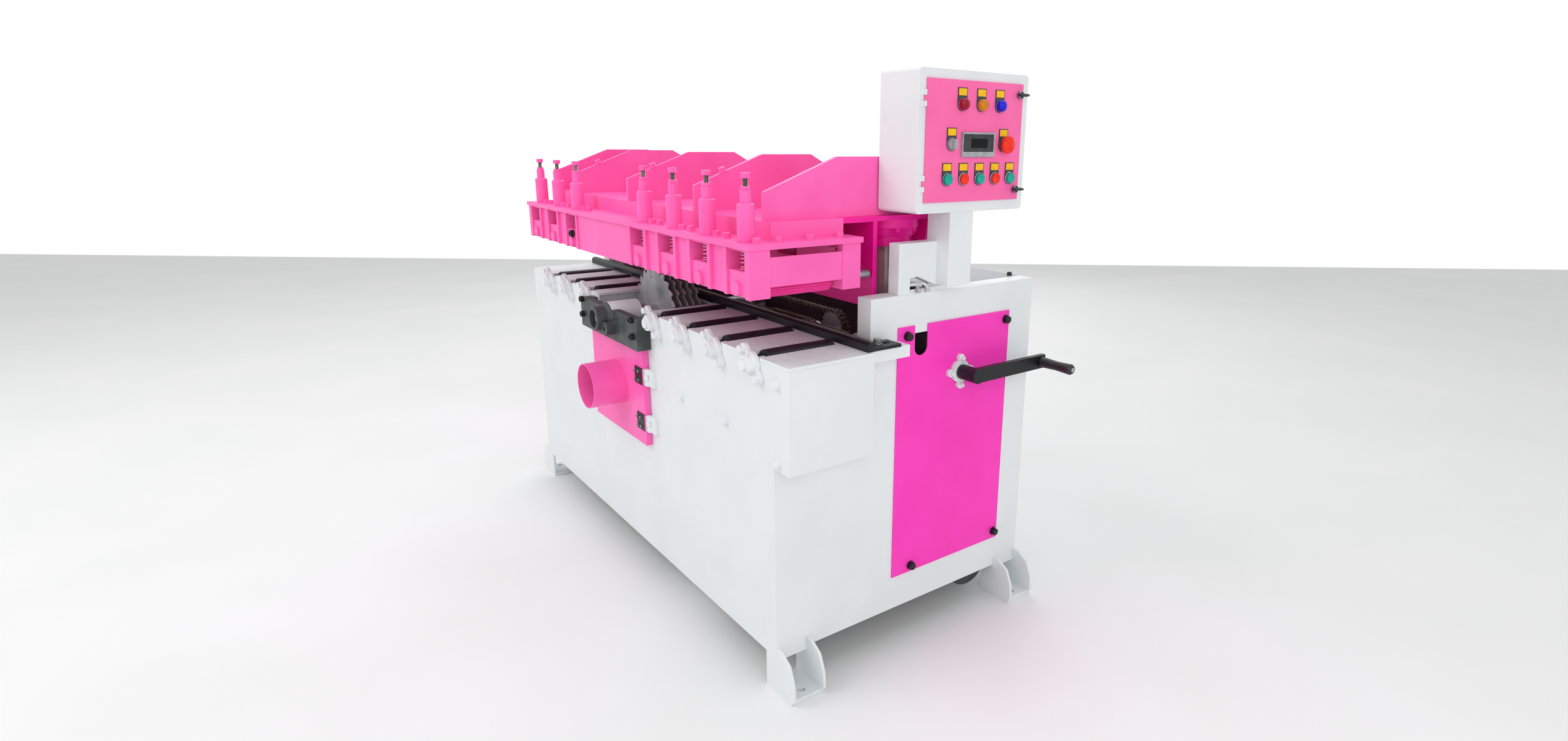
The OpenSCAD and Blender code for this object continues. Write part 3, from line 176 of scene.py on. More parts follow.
# Cast iron under paint: sand-mould grain, patches of dust, rubbed brighter edges.
def paintedCasting(name, hexColour, dustHex, rubbedHex, roughness):
    mat, place = newMaterial(name)
    sand = addNode(mat, "TexNoise", inputs={"Vector": place, "Scale": perMm(4), "Detail": 8.0})
    lumps = addNode(mat, "TexNoise", inputs={"Vector": place, "Scale": perMm(35), "Detail": 3.0})
    tint = addNode(mat, "ValToRGB", inputs={"Fac": lumps.outputs["Fac"]},
                   stops=[(0.35, linear(hexColour)), (0.75, linear(dustHex))])
    rim = addNode(mat, "ValToRGB", inputs={"Fac": edgeTurn(mat, 3)},
                  stops=[(0.8, grey(0.6)), (0.95, grey(0))])
    colour = addNode(mat, "MixRGB", inputs={"Fac": rim.outputs["Color"], "Color1": tint.outputs["Color"],
                                            "Color2": linear(rubbedHex)})
    dulled = addNode(mat, "MapRange", inputs={"Value": sand.outputs["Fac"], "To Min": roughness - 0.08,
                                              "To Max": roughness + 0.12})
    bump = addNode(mat, "Bump", inputs={"Height": sand.outputs["Fac"], "Strength": 0.35, "Distance": 0.0012})
    return showShader(mat, addNode(mat, "BsdfPrincipled", inputs={
        "Base Color": colour.outputs["Color"], "Roughness": dulled.outputs["Result"],
        "Normal": bump.outputs["Normal"]}))


# Moulded plastic: even colour, a fine spark-eroded grain and slightly uneven gloss.
def mouldedPlastic(name, hexColour, shadeHex, roughness, grain=1.2, specular=0.5):
    mat, place = newMaterial(name)
    soft = addNode(mat, "TexNoise", inputs={"Vector": place, "Scale": perMm(18), "Detail": 4.0})
    tint = addNode(mat, "ValToRGB", inputs={"Fac": soft.outputs["Fac"]},
                   stops=[(0.3, linear(shadeHex)), (0.6, linear(hexColour))])
    pits = addNode(mat, "TexNoise", inputs={"Vector": place, "Scale": perMm(grain), "Detail": 2.0})
    dulled = addNode(mat, "MapRange", inputs={"Value": soft.outputs["Fac"], "To Min": roughness - 0.05,
                                              "To Max": roughness + 0.08})
    bump = addNode(mat, "Bump", inputs={"Height": pits.outputs["Fac"], "Strength": 0.1, "Distance": 0.0002})
    return showShader(mat, addNode(mat, "BsdfPrincipled", inputs={
        "Base Color": tint.outputs["Color"], "Roughness": dulled.outputs["Result"],
        "Normal": bump.outputs["Normal"], "Specular IOR Level": specular}))


# Oiled chain steel: brown rust between darker oiled plates.
def oiledChain(name, steelHex, rustHex, darkHex):
    mat, place = newMaterial(name)
    rust = addNode(mat, "TexNoise", inputs={"Vector": place, "Scale": perMm(9), "Detail": 8.0})
    colour = addNode(mat, "ValToRGB", inputs={"Fac": rust.outputs["Fac"]},
                     stops=[(0.38, linear(darkHex)), (0.5, linear(rustHex)), (0.62, linear(steelHex))])
    metal = addNode(mat, "MapRange", inputs={"Value": rust.outputs["Fac"], "From Min": 0.45, "From Max": 0.6,
                                             "To Min": 0.1, "To Max": 0.9})
    bump = addNode(mat, "Bump", inputs={"Height": rust.outputs["Fac"], "Strength": 0.3, "Distance": 0.0005})
    return showShader(mat, addNode(mat, "BsdfPrincipled", inputs={
        "Base Color": colour.outputs["Color"], "Metallic": metal.outputs["Result"], "Roughness": 0.5,
        "Normal": bump.outputs["Normal"]}))


# Enamels: face, clouds and rubbed edge, then roughness and clear coat
whiteEnamel = sprayedEnamel("whiteEnamel", "#E6EAEC", "#E1E6E8", "#F1F4F4", 0.36, 0.1)
pinkEnamel = sprayedEnamel("pinkEnamel", "#FF6DBC", "#FB62B3", "#FF70BD", 0.38, 0.04)
# The fluted rollers' pink is the head's paint made darker and deeper: painted shade under the end plate
rollerShadedEnamel = sprayedEnamel("rollerShadedPinkEnamel", "#FA3CA2", "#EC2A92", "#FF86C8", 0.34, 0.08)
# The end doors' pink is the head's paint made darker and deeper: painted shade on the end face
pinkDoorShadedEnamel = sprayedEnamel("pinkDoorShadedEnamel", "#FF3FC0", "#FA38B8", "#FF8FD6", 0.36, 0.05, 0.2)
panelEnamel = sprayedEnamel("panelPinkEnamel", "#FF70B0", "#FA68A9", "#FFACD0", 0.34, 0.08)
# The carriage's magenta is the head's pink made darker and deeper: painted shade under the head
shadedPinkEnamel = sprayedEnamel("shadedPinkEnamel", "#FA14A0", "#EA0A90", "#FC5AB8", 0.34, 0.1)
greyEnamel = sprayedEnamel("greyEnamel", "#8D949B", "#7F868D", "#B7BDC2", 0.42, 0.1)
# A dark grey-brown enamel for the cabinet wall by the chains, darker than the white sheet around it
darkWallEnamel = sprayedEnamel("darkWallPaint", "#4B4346", "#2C2729", "#7A7273", 0.5, 0.0)
# Steels: face and oil, then roughness, spacing and run of the tool lines, and how bare the metal is
alongX = (0.05, 1.0, 1.0)
alongY = (1.0, 0.05, 1.0)
alongZ = (1.0, 1.0, 0.05)
# Ground steel lightened and tinted green-grey to offset the head's shadow and its pink light: painted light
groundSteelPaintedLight = machinedSteel("groundSteelPaintedLight", "#E4EEED", "#D3DEDE", 0.46, 1.6, alongX, 0.1)
polishedSteel = machinedSteel("polishedSteel", "#B9B5B0", "#96928E", 0.28, 1.2, alongZ, 0.35)
turnedSteel = machinedSteel("turnedSteel", "#C2C4C7", "#96979A", 0.32, 1.0, alongY, 0.75)
bladeSteel = machinedSteel("bladeSteel", "#C6C8CA", "#8B8D90", 0.34, 1.4, alongY, 0.45)
zincSteel = machinedSteel("zincPlatedSteel", "#A9ABA6", "#7C7D78", 0.34, 2.0, alongZ)
blackOxide = machinedSteel("blackOxideSteel", "#16171B", "#0D0E11", 0.42, 2.0, alongX, 0.2)
blackRoller = machinedSteel("blackenedRollerSteel", "#30313B", "#1D1E25", 0.4, 2.4, alongY, 0.45)
springSteel = machinedSteel("oversprayedSpringSteel", "#F79CCB", "#D873AC", 0.36, 1.0, alongZ, 0.2)
satinChrome = machinedSteel("satinChrome", "#9A9CA2", "#74767B", 0.3, 1.0, alongX)
# Carbide made paler than it is so the teeth read in the head's shade: real tips, partly painted light
carbide = machinedSteel("brazedCarbide", "#C9C7C2", "#A09D97", 0.4, 0.8, alongZ, 0.3)
chainSteel = oiledChain("oiledChainSteel", "#7A6A5C", "#5E4331", "#2A221D")
# Castings: paint, dust and rubbed edge
whiteCasting = paintedCasting("whitePaintedCasting", "#E8ECEE", "#DFE4E6", "#F4F6F6", 0.4)
darkCasting = paintedCasting("darkPaintedCasting", "#2E3534", "#4A5250", "#7B8280", 0.48)
motorCasting = paintedCasting("motorCastingPaint", "#1F2224", "#3A3E40", "#63686A", 0.5)
# Rubber and plastics: face and shade, then roughness, grain and gloss
beltRubber = mouldedPlastic("beltRubber", "#191919", "#0F0F0F", 0.75, 2.0)
cableSheath = mouldedPlastic("pvcCableSheath", "#D9DCDE", "#C6CACC", 0.5, 2.0)
blackNylon = mouldedPlastic("blackNylon", "#26272A", "#17181A", 0.45)
greyAbs = mouldedPlastic("greyAbs", "#A9ADB0", "#94989B", 0.4)
darkAbs = mouldedPlastic("darkAbs", "#3B3D45", "#2C2E34", 0.42)
yellowAcrylic = mouldedPlastic("yellowAcrylic", "#FFC81E", "#F5BA0A", 0.35, specular=0.2)
greenAbs = mouldedPlastic("greenAbs", "#0AAE9A", "#06A08C", 0.25, specular=0.25)
redAbs = mouldedPlastic("redAbs", "#FA341E", "#EC2816", 0.25, specular=0.25)
redLens = mouldedPlastic("redLensAcrylic", "#B4002F", "#8A0024", 0.16, 4.0, 0.3)
amberLens = mouldedPlastic("amberLensAcrylic", "#D6880E", "#B46404", 0.16, 4.0, 0.3)
blueLens = mouldedPlastic("blueLensAcrylic", "#1016D6", "#060AA6", 0.16, 4.0, 0.3)
screenDark = mouldedPlastic("unlitDisplay", "#0A0B0D", "#060708", 0.3, 30.0, 0.15)
screenGlass = mouldedPlastic("screenGlass", "#3A3C42", "#303237", 0.2, 30.0, 0.3)
print("materials made:", len(bpy.data.materials))


# Shaping helpers

def objectMode():
    bpy.ops.object.mode_set(mode="OBJECT")


def editMode():
    bpy.ops.object.mode_set(mode="EDIT")


def pickAll():
    bpy.ops.mesh.select_all(action="SELECT")


def pickNone():
    bpy.ops.mesh.select_all(action="DESELECT")


def settle():  # puts the place, turn and size of what is selected into its mesh
    bpy.ops.object.transform_apply(location=True, rotation=True, scale=True)


def clearSelection():
    if bpy.context.mode != "OBJECT":
        objectMode()
    bpy.ops.object.select_all(action="DESELECT")


def focus(obj):
    clearSelection()
    obj.select_set(True)
    bpy.context.view_layer.objects.active = obj


def editAll(obj):
    focus(obj)
    editMode()
    bpy.ops.mesh.select_mode(type="VERT")
    pickAll()


def pickFaces(obj, test):  # edit mode with only the faces selected that pass the test
    editAll(obj)
    bpy.ops.mesh.select_mode(type="FACE")
    pickNone()
    objectMode()
    for face in obj.data.polygons:
        face.select = test(face.center, face.normal)
    editMode()


def useModifier(obj, kind, **settings):
    focus(obj)
    bpy.ops.object.modifier_add(type=kind)
    modifier = obj.modifiers[-1]
    for key, value in settings.items():
        setattr(modifier, key, value)
    bpy.ops.object.modifier_apply(modifier=modifier.name)


def roundEdges(obj, width, segments=2, angle=40):
    useModifier(obj, "BEVEL", width=width, segments=segments, limit_method="ANGLE",
                angle_limit=math.radians(angle))


def shapeBy(obj, cutter, operation):  # cuts a piece with another one, which goes
    useModifier(obj, "BOOLEAN", operation=operation, object=cutter, solver="EXACT")
    bpy.data.objects.remove(cutter)


def coat(obj, material, test=None):  # paints the whole piece, or the faces that pass the test
    if test is None:
        obj.data.materials.clear()
        obj.data.materials.append(material)
        return
    obj.data.materials.append(material)
    for face in obj.data.polygons:
        if test(face.center, face.normal):
            face.material_index = len(obj.data.materials) - 1


def joined(pieces):
    clearSelection()
    for piece in pieces:
        piece.select_set(True)
    bpy.context.view_layer.objects.active = pieces[0]
    if len(pieces) > 1:
        bpy.ops.object.join()
    return pieces[0]


def at(x, y, z):  # a place given in mm
    return Vector((x, y, z)) * mm


def copiesAt(master, matrices, keep=False):  # each copy has its own mesh, and the group becomes one piece
    group = []
    for matrix in matrices:
        copy = master.copy()
        copy.data = master.data.copy()
        copy.data.transform(matrix)
        bpy.context.scene.collection.objects.link(copy)
        group.append(copy)
    if not keep:
        bpy.data.objects.remove(master)
    return joined(group)


def stand(point, axis=(0, 0, 1), turn=0.0):  # puts a piece made on +Z at a point, along an axis
    facing = Vector(axis).to_track_quat("Z", "Y").to_matrix().to_4x4()
    return Matrix.Translation(Vector(point)) @ facing @ Matrix.Rotation(math.radians(turn), 4, "Z")


def handOver(obj, name, body, replaced=(), smooth=38):
    focus(obj)
    settle()
    bpy.ops.object.shade_smooth_by_angle(angle=math.radians(smooth))
    useModifier(obj, "WEIGHTED_NORMAL", keep_sharp=True)  # flat sheets stay flat beside rounded edges
    obj.name = name
    obj.data.name = name
    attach(obj, body)
    if replaced:
        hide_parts(*replaced)
    return obj


def outline(profile):  # an open line of edges through (radius, height) points in mm, in edit mode
    clearSelection()
    bpy.ops.mesh.primitive_plane_add(size=mm)
    editMode()
    bpy.ops.mesh.select_mode(type="VERT")
    bpy.ops.mesh.merge(type="CENTER")
    bpy.ops.transform.translate(value=(profile[0][0] * mm, 0, profile[0][1] * mm))
    for a, b in zip(profile, profile[1:]):
        bpy.ops.mesh.extrude_vertices_move(
            TRANSFORM_OT_translate={"value": ((b[0] - a[0]) * mm, 0, (b[1] - a[1]) * mm)})
    pickAll()
    return bpy.context.object


def closeUp(obj):  # merges doubles, fills open ends and turns the normals outwards
    editAll(obj)
    bpy.ops.mesh.remove_doubles(threshold=0.000002)
    pickAll()
    bpy.ops.mesh.fill_holes(sides=0)
    pickAll()
    bpy.ops.mesh.normals_make_consistent(inside=False)
    objectMode()
    return obj


def turned(profile, steps=32):  # a lathe piece on Z
    obj = outline(profile)
    bpy.ops.mesh.spin(steps=steps, angle=2 * math.pi, center=(0, 0, 0), axis=(0, 0, 1))
    return closeUp(obj)


def helix(profile, rise, turns, steps=20):  # a profile wound about Z, as for threads and coils
    obj = outline(profile)
    objectMode()
    useModifier(obj, "SCREW", angle=2 * math.pi, screw_offset=rise * mm, iterations=turns, steps=steps,
                render_steps=steps, use_normal_calculate=True)
    return obj


def rod(radius, bottom, top, sides=12):  # a plain round bar on Z, for joining into a larger piece
    return turned([(0, bottom), (radius, bottom), (radius, top), (0, top)], sides)


def hexagon(flats, bottom, top, under=False):  # a hexagon bar on Z with turned corners
    clearSelection()
    bpy.ops.mesh.primitive_cylinder_add(vertices=6, radius=flats / math.sqrt(3) * mm,
                                        depth=(top - bottom) * mm, location=(0, 0, (top + bottom) / 2 * mm))
    bar = bpy.context.object
    settle()
    face, corner = flats * 0.47, flats * 0.6
    drop = (corner - face) * 0.5
    foot = [(face, bottom), (corner, bottom + drop)] if under else [(corner, bottom)]
    crown = turned([(0, bottom)] + foot + [(corner, top - drop), (face, top), (0, top)], 36)
    shapeBy(bar, crown, "INTERSECT")
    return bar


def hexBolt(flats, material):  # washer and hexagon head standing on Z = 0
    washer = turned([(flats * 0.3, 0), (flats * 0.62, 0), (flats * 0.65, 0.5), (flats * 0.65, 1.6),
                     (flats * 0.62, 2.0), (flats * 0.3, 2.0)], 28)
    bolt = joined([hexagon(flats, 1.8, 1.8 + flats * 0.62), washer])
    coat(bolt, material)
    return bolt


def capScrew(head, material):  # socket cap screw with its hexagon socket, standing on Z = 0
    tall = head * 0.62
    screw = turned([(0, 0), (head / 2, 0), (head / 2, tall - 0.8), (head / 2 - 0.8, tall), (0, tall)], 28)
    socket = hexagon(head * 0.55, tall * 0.45, tall + 1)
    shapeBy(screw, socket, "DIFFERENCE")
    coat(screw, material)
    return screw


def slab(corner, opposite, width=0.0, segments=2):  # a block between two corners in mm, with rounded edges
    clearSelection()
    size = [(b - a) * mm for a, b in zip(corner, opposite)]
    middle = [(a + b) / 2 * mm for a, b in zip(corner, opposite)]
    bpy.ops.mesh.primitive_cube_add(size=1, location=middle, scale=size)
    obj = bpy.context.object
    settle()
    if width:
        roundEdges(obj, width * mm, segments)
    return obj


def moveCorners(obj, test, by):  # moves the corners that pass the test, in mm
    editAll(obj)
    pickNone()
    objectMode()
    for corner in obj.data.vertices:
        corner.select = test(corner.co / mm)
    editMode()
    bpy.ops.transform.translate(value=at(*by))
    objectMode()


def nodeCopy(nodeName, bevelMm, moves=()):  # a merged copy of a CAD node with softened edges
    obj = bpy.data.objects.new(nodeName + "Copy", nodes[nodeName].data.copy())
    bpy.context.scene.collection.objects.link(obj)
    obj.data.materials.clear()
    editAll(obj)
    bpy.ops.mesh.customdata_custom_splitnormals_clear()
    bpy.ops.mesh.remove_doubles(threshold=0.00001)
    bpy.ops.mesh.dissolve_limited(angle_limit=math.radians(0.3))
    objectMode()
    for test, by in moves:
        moveCorners(obj, test, by)
    if bevelMm:
        roundEdges(obj, bevelMm * mm)
    return obj


# Pieces of sheet, castings and shafts: CAD shapes with a finish and softened edges in mm
dressed = {
    "cabinet": ("cabinetShell", whiteEnamel, 1.5), "feet": ("footBrackets", whiteEnamel, 1.5),
    # table plates in the lightened ground steel: painted light
    "rear_cover": ("rearCover", greyEnamel, 0.8), "table_plates": ("tablePlates", groundSteelPaintedLight, 0.7),
    # end doors in the darker pink: painted shade
    "fence": ("fenceBar", blackOxide, 0.9), "end_doors": ("endDoors", pinkDoorShadedEnamel, 1.0),
    "arbor_bearings": ("arborBearings", darkCasting, 1.8),
    "flange_bearings": ("flangeBearings", whiteCasting, 1.6),
    "motors": ("driveMotors", motorCasting, 1.0), "drive_belts": ("driveBelts", beltRubber, 0.6),
    "columns": ("guideColumns", polishedSteel, 1.0),
    "control_bracket": ("controlBracket", whiteEnamel, 2.0),
    "control_box": ("controlBox", whiteEnamel, 1.2), "control_cables": ("controlCables", cableSheath, 0.4),
    "saw_arbor": ("sawArbor", turnedSteel, 0.7), "saw_blades": ("sawBlades", bladeSteel, 0.0),
    "motor_pulley": ("motorPulley", turnedSteel, 0.5), "head_rails": ("headRails", pinkEnamel, 1.0),
    # rear apron in the darker pink: painted shade
    "head_bridge": ("headBridge", pinkEnamel, 1.2), "rear_apron": ("rearApron", shadedPinkEnamel, 1.2),
    "spring_posts": ("springPosts", pinkEnamel, 0.8), "crank": ("crank", blackOxide, 1.4),
    "crank_grip": ("crankGrip", blackNylon, 0.8), "chip_door": ("chipDoor", pinkEnamel, 0.9),
    "box_door": ("boxDoor", panelEnamel, 0.6)}
for i in range(1, 8):
    dressed[f"lower_roller_{i}"] = (f"lowerRoller{i}", blackRoller, 0.6)
    # upper rollers in the darker pink: painted shade
    dressed[f"upper_roller_{i}"] = (f"upperRoller{i}", rollerShadedEnamel, 0.4)
    dressed[f"slide_block_{i}"] = (f"slideBlock{i}", pinkEnamel, 0.8)

# Feed stations: wide windows with taller slide blocks, which leave the springs in view. Corners are told
# apart by how far they lie from the roller's axis, and each kind has a move of its own.
station = {"inside": 20, "wall": 28, "pillar": 36, "left": 14, "right": 24, "lastWall": 17.6,
           "lastPillar": 12.5, "rise": 14}
endPlate = {"low": low("head_rails", "z") + 12, "rise": 11}
fenceLift = 0.1
closeBy = 0.2  # corners within this of a place lie on it
blockTop = high("slide_block_1", "z")


def fromStation(corner):  # distance along X from the nearest roller
    return min((corner.x - x for x in stationX), key=abs)


def atLast(corner):  # beside the end pillar, where the window has less room
    return corner.x > stationX[0]


def leftSide(corner):
    return -station["pillar"] < fromStation(corner) < -station["inside"]


def rightSide(corner):
    return station["inside"] < fromStation(corner) < station["pillar"] and not atLast(corner)


def lastPillar(corner):
    return atLast(corner) and station["wall"] < fromStation(corner) < station["pillar"]


def lastWall(corner):
    return atLast(corner) and station["inside"] < fromStation(corner) < station["wall"]


widened = [(leftSide, (-station["left"], 0, 0)), (rightSide, (station["right"], 0, 0)),
           (lastPillar, (station["lastPillar"], 0, 0)), (lastWall, (station["lastWall"], 0, 0))]
cornerMoves = {  # end plates that clear the rollers, and a fence that slides a hair over the table
    "head_rails": [(lambda c: abs(c.z - endPlate["low"]) < closeBy, (0, 0, endPlate["rise"]))] + widened,
    "fence": [(lambda c: abs(c.z - tableTop) < closeBy, (0, 0, fenceLift))]}
tallBlock = [(lambda c: c.z > blockTop - closeBy, (0, 0, station["rise"]))] + widened
for i in range(1, 8):
    cornerMoves[f"slide_block_{i}"] = tallBlock
pieces = {}
for nodeName, (pieceName, material, bevel) in dressed.items():
    piece = nodeCopy(nodeName, bevel, cornerMoves.get(nodeName, ()))
    coat(piece, material)
    pieces[pieceName] = handOver(piece, pieceName, bodyOf[nodeName], [nodeName])
print("dressed pieces:", len(pieces))


# Finishes of pieces made of several stuffs
rollers = {"painted": 20, "bodyEnd": 207, "sprocketStart": 240, "lowerShaft": 13.2, "upperShaft": 10.6}
hinge = {"leaf": 118, "face": 18.5, "knuckle": 171, "edge": 170, "low": (462, 596), "middle": 24}
sleeve = {"front": -15, "back": 120, "radius": 46}
chainWall = {"y": 60, "near": 3}
spindleX = 880


def fromAxis(centre, x, z):  # distance of a face from a bar along Y, in mm
    return math.hypot(centre.x / mm - x, centre.z / mm - z)


def behindFront(centre):
    return centre.y / mm - frontY


for i, x in enumerate(stationX, 1):  # blackened and fluted rollers on bright shafts
    lowerZ, upperZ = mid(f"lower_roller_{i}", "z"), mid(f"upper_roller_{i}", "z")
    roller = pieces[f"lowerRoller{i}"]
    coat(roller, turnedSteel, lambda c, n: behindFront(c) > rollers["bodyEnd"])
    coat(roller, whiteCasting, lambda c, n: behindFront(c) < rollers["painted"]
         and fromAxis(c, x, lowerZ) < rollers["lowerShaft"] + 1)
    coat(roller, chainSteel, lambda c, n: behindFront(c) > rollers["sprocketStart"]
         and fromAxis(c, x, lowerZ) > rollers["lowerShaft"])
    coat(pieces[f"upperRoller{i}"], turnedSteel, lambda c, n: fromAxis(c, x, upperZ) < rollers["upperShaft"])
coat(pieces["chipDoor"], blackOxide, lambda c, n: c.x / mm > hinge["leaf"]
     and behindFront(c) < -hinge["face"])
coat(pieces["chipDoor"], whiteEnamel, lambda c, n: c.x / mm > hinge["knuckle"])
coat(pieces["tablePlates"], whiteEnamel, lambda c, n: abs(n.z) < 0.5)  # slot walls and rims
coat(pieces["cabinetShell"], darkWallEnamel, lambda c, n: n.y < -0.8  # wall by the chains, in a darker grey-brown than the sheet around it
     and abs(c.y / mm - chainWall["y"]) < chainWall["near"])
coat(pieces["sawBlades"], carbide, lambda c, n: abs(n.y) < 0.5)  # rims in the pale carbide colour: painted highlight along the teeth in the head's shade
coat(pieces["arborBearings"], groundSteelPaintedLight, lambda c, n: sleeve["front"] < behindFront(c) < sleeve["back"]
     and fromAxis(c, arborX, arborZ) < sleeve["radius"])  # sleeve behind the plate in the lightened steel: painted light in the head's shade
coat(pieces["crank"], turnedSteel, lambda c, n: c.x / mm > spindleX)
print("finishes divided")


# Carriage skirts: a plate with a sloped end under the deck, behind each column
skirt = {"half": 75, "drop": 62, "thick": 10, "slope": 14, "back": 500, "deck": 12, "edge": 1.2}
deckLow = high("rear_apron", "z") - skirt["deck"]
skirtLow = deckLow - skirt["drop"]
skirtBack = frontY + skirt["back"]
skirts = []
for column, side, outer in zip(columnX, (1, -1), (high("rear_apron", "x"), low("rear_apron", "x"))):
    span = sorted((column - side * skirt["half"], outer))
    skirtPlate = slab((span[0], skirtBack - skirt["thick"], skirtLow), (span[1], skirtBack, deckLow + 1))
    moveCorners(skirtPlate, lambda c: c.z < skirtLow + closeBy and abs(c.x - outer) < closeBy,
                (-side * skirt["slope"], 0, 0))
    roundEdges(skirtPlate, skirt["edge"] * mm)
    skirts.append(skirtPlate)
carriageSkirts = joined(skirts)
# skirts in the darker pink: painted shade under the deck
coat(carriageSkirts, shadedPinkEnamel)
handOver(carriageSkirts, "carriageSkirts", "head")
print("carriage finished")


# Pressure springs: closed end turns
spring = {"wire": 3.0, "radius": 11.5, "turns": 3, "travel": 12, "sides": 10}
springLow, springHigh = low("pressure_springs", "z") + station["rise"], high("pressure_springs", "z")
springRows = [mid("spring_posts", "y"), high("pressure_springs", "y") - spring["radius"] - spring["wire"] / 2]


def wireRing(height):  # section of the wire, as a closed line
    turn = [2 * math.pi * k / spring["sides"] for k in range(spring["sides"] + 1)]
    return [(spring["radius"] + spring["wire"] / 2 * math.cos(t), height + spring["wire"] / 2 * math.sin(t))
            for t in turn]


seatRise = spring["wire"] * 1.03
firstRing = spring["wire"] / 2
openRise = (springHigh - springLow - spring["wire"] - 2 * seatRise) / spring["turns"]
springMaster = closeUp(joined([
    helix(wireRing(firstRing), seatRise, 1), helix(wireRing(firstRing + seatRise), openRise, spring["turns"]),
    helix(wireRing(firstRing + seatRise + openRise * spring["turns"]), seatRise, 1)]))
coat(springMaster, springSteel)
for i, x in enumerate(stationX, 1):
    pair = copiesAt(springMaster, [stand(at(x, y, springLow)) for y in springRows], keep=True)
    handOver(pair, f"pressureSprings{i}", "head", ["pressure_springs"])
    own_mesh(pair)
bpy.data.objects.remove(springMaster)
print("springs wound")


# Adjusters: seat, threaded rod, lock nut and hexagon head over each spring post
adjuster = {"rod": 6.0, "root": 5.1, "pitch": 1.75, "seat": 12.5, "flats": 19, "nut": 8, "head": 11,
            "shown": 24}
neckTop = high("spring_posts", "z")
headLow = neckTop + adjuster["shown"]
threadTurns = int(adjuster["shown"] / adjuster["pitch"]) + 1
thread = helix([(adjuster["root"], 0), (adjuster["rod"], adjuster["pitch"] / 2),
                (adjuster["root"], adjuster["pitch"])], adjuster["pitch"], threadTurns, 24)
thread.data.transform(Matrix.Translation((0, 0, (neckTop - 1) * mm)))
seatLow = low("adjuster_screws", "z")
seat = turned([(0, seatLow), (adjuster["seat"] - 1, seatLow), (adjuster["seat"], seatLow + 1),
               (adjuster["seat"], seatLow + 3), (adjuster["seat"] - 1, seatLow + 4), (0, seatLow + 4)])
screw = joined([thread, seat, rod(adjuster["rod"] - 0.05, seatLow + 3, neckTop - 0.5, 24),
                rod(adjuster["root"], neckTop - 1, headLow + 1, 16),
                hexagon(adjuster["flats"], neckTop, neckTop + adjuster["nut"], True),
                hexagon(adjuster["flats"], headLow, headLow + adjuster["head"])])
coat(screw, zincSteel)
coat(screw, pinkEnamel, lambda c, n: c.z / mm > headLow - closeBy  # head and nut are sprayed with the post
     or math.hypot(c.x, c.y) / mm > adjuster["rod"] + 0.3 and c.z / mm > neckTop - closeBy)
screws = copiesAt(screw, [stand(at(x, springRows[0], 0), turn=23 * i) for i, x in enumerate(stationX)])
handOver(screws, "adjusterScrews", "head", ["adjuster_screws"], 30)
print("adjusters made")


# Feed chains: alternating inner and outer links laid round each pair of sprockets
chain = {"pitch": 12.7, "plate": 4.7, "thick": 1.3, "inner": 3.7, "outer": 5.1, "roller": 3.9, "pin": 1.8,
         "pinEnd": 0.9, "waist": 0.7, "feedRadius": 32.55, "driveRadius": 48.65, "rowA": 252, "rowB": 270,
         "rowC": 342}
linkEnds = (-chain["pitch"] / 2, chain["pitch"] / 2)


def linkPlate(y):  # waisted plate in the XZ plane, its middle at y
    discs = []
    for x in linkEnds:
        clearSelection()
        bpy.ops.mesh.primitive_cylinder_add(vertices=8, radius=chain["plate"] * mm, depth=chain["thick"] * mm,
                                            location=at(x, y, 0), rotation=(math.pi / 2, 0, 0))
        settle()
        discs.append(bpy.context.object)
    plate = joined(discs)
    editAll(plate)
    bpy.ops.mesh.convex_hull()
    pickAll()
    bpy.ops.mesh.dissolve_limited(angle_limit=math.radians(2))
    pickAll()
    bpy.ops.mesh.bisect(plane_co=(0, 0, 0), plane_no=(1, 0, 0))
    bpy.ops.transform.resize(value=(1, 1, chain["waist"]), center_override=(0, 0, 0))
    objectMode()
    return plate


def crossBar(x, radius, half, sides):
    bar = rod(radius, -half, half, sides)
    bar.data.transform(stand(at(x, 0, 0), (0, 1, 0)))
    return bar


innerLink = joined([linkPlate(chain["inner"]), linkPlate(-chain["inner"])]
                   + [crossBar(x, chain["roller"], chain["inner"], 8) for x in linkEnds])
outerLink = joined([linkPlate(chain["outer"]), linkPlate(-chain["outer"])]
                   + [crossBar(x, chain["pin"], chain["outer"] + chain["pinEnd"], 6) for x in linkEnds])
for link in (innerLink, outerLink):
    coat(link, chainSteel)


def loopPoint(along, a, b, radius):  # point on a loop round two equal wheels at x = a and x = b
    straight, half = b - a, math.pi * radius
    along %= 2 * (straight + half)
    if along < straight:
        return Vector((a + along, 0, radius))
    if along < straight + half:
        turn = (along - straight) / radius
        return Vector((b + radius * math.sin(turn), 0, radius * math.cos(turn)))
    if along < 2 * straight + half:
        return Vector((b - (along - straight - half), 0, -radius))
    turn = (along - 2 * straight - half) / radius
    return Vector((a - radius * math.sin(turn), 0, -radius * math.cos(turn)))


def loopMatrices(first, second, radius, row):  # one matrix for each link, for an even number of links
    a, b = sorted((stationX[first], stationX[second]))
    length = 2 * (b - a) + 2 * math.pi * radius
    count = 2 * round(length / chain["pitch"] / 2)
    middle = Vector((0, frontY + row, mid("lower_roller_1", "z")))
    places = []
    for k in range(count):
        start, end = (loopPoint(length * j / count, a, b, radius) for j in (k, k + 1))
        slope = math.atan2(end.z - start.z, end.x - start.x)
        places.append(Matrix.Translation(((start + end) / 2 + middle) * mm) @ Matrix.Rotation(-slope, 4, "Y"))
    return places


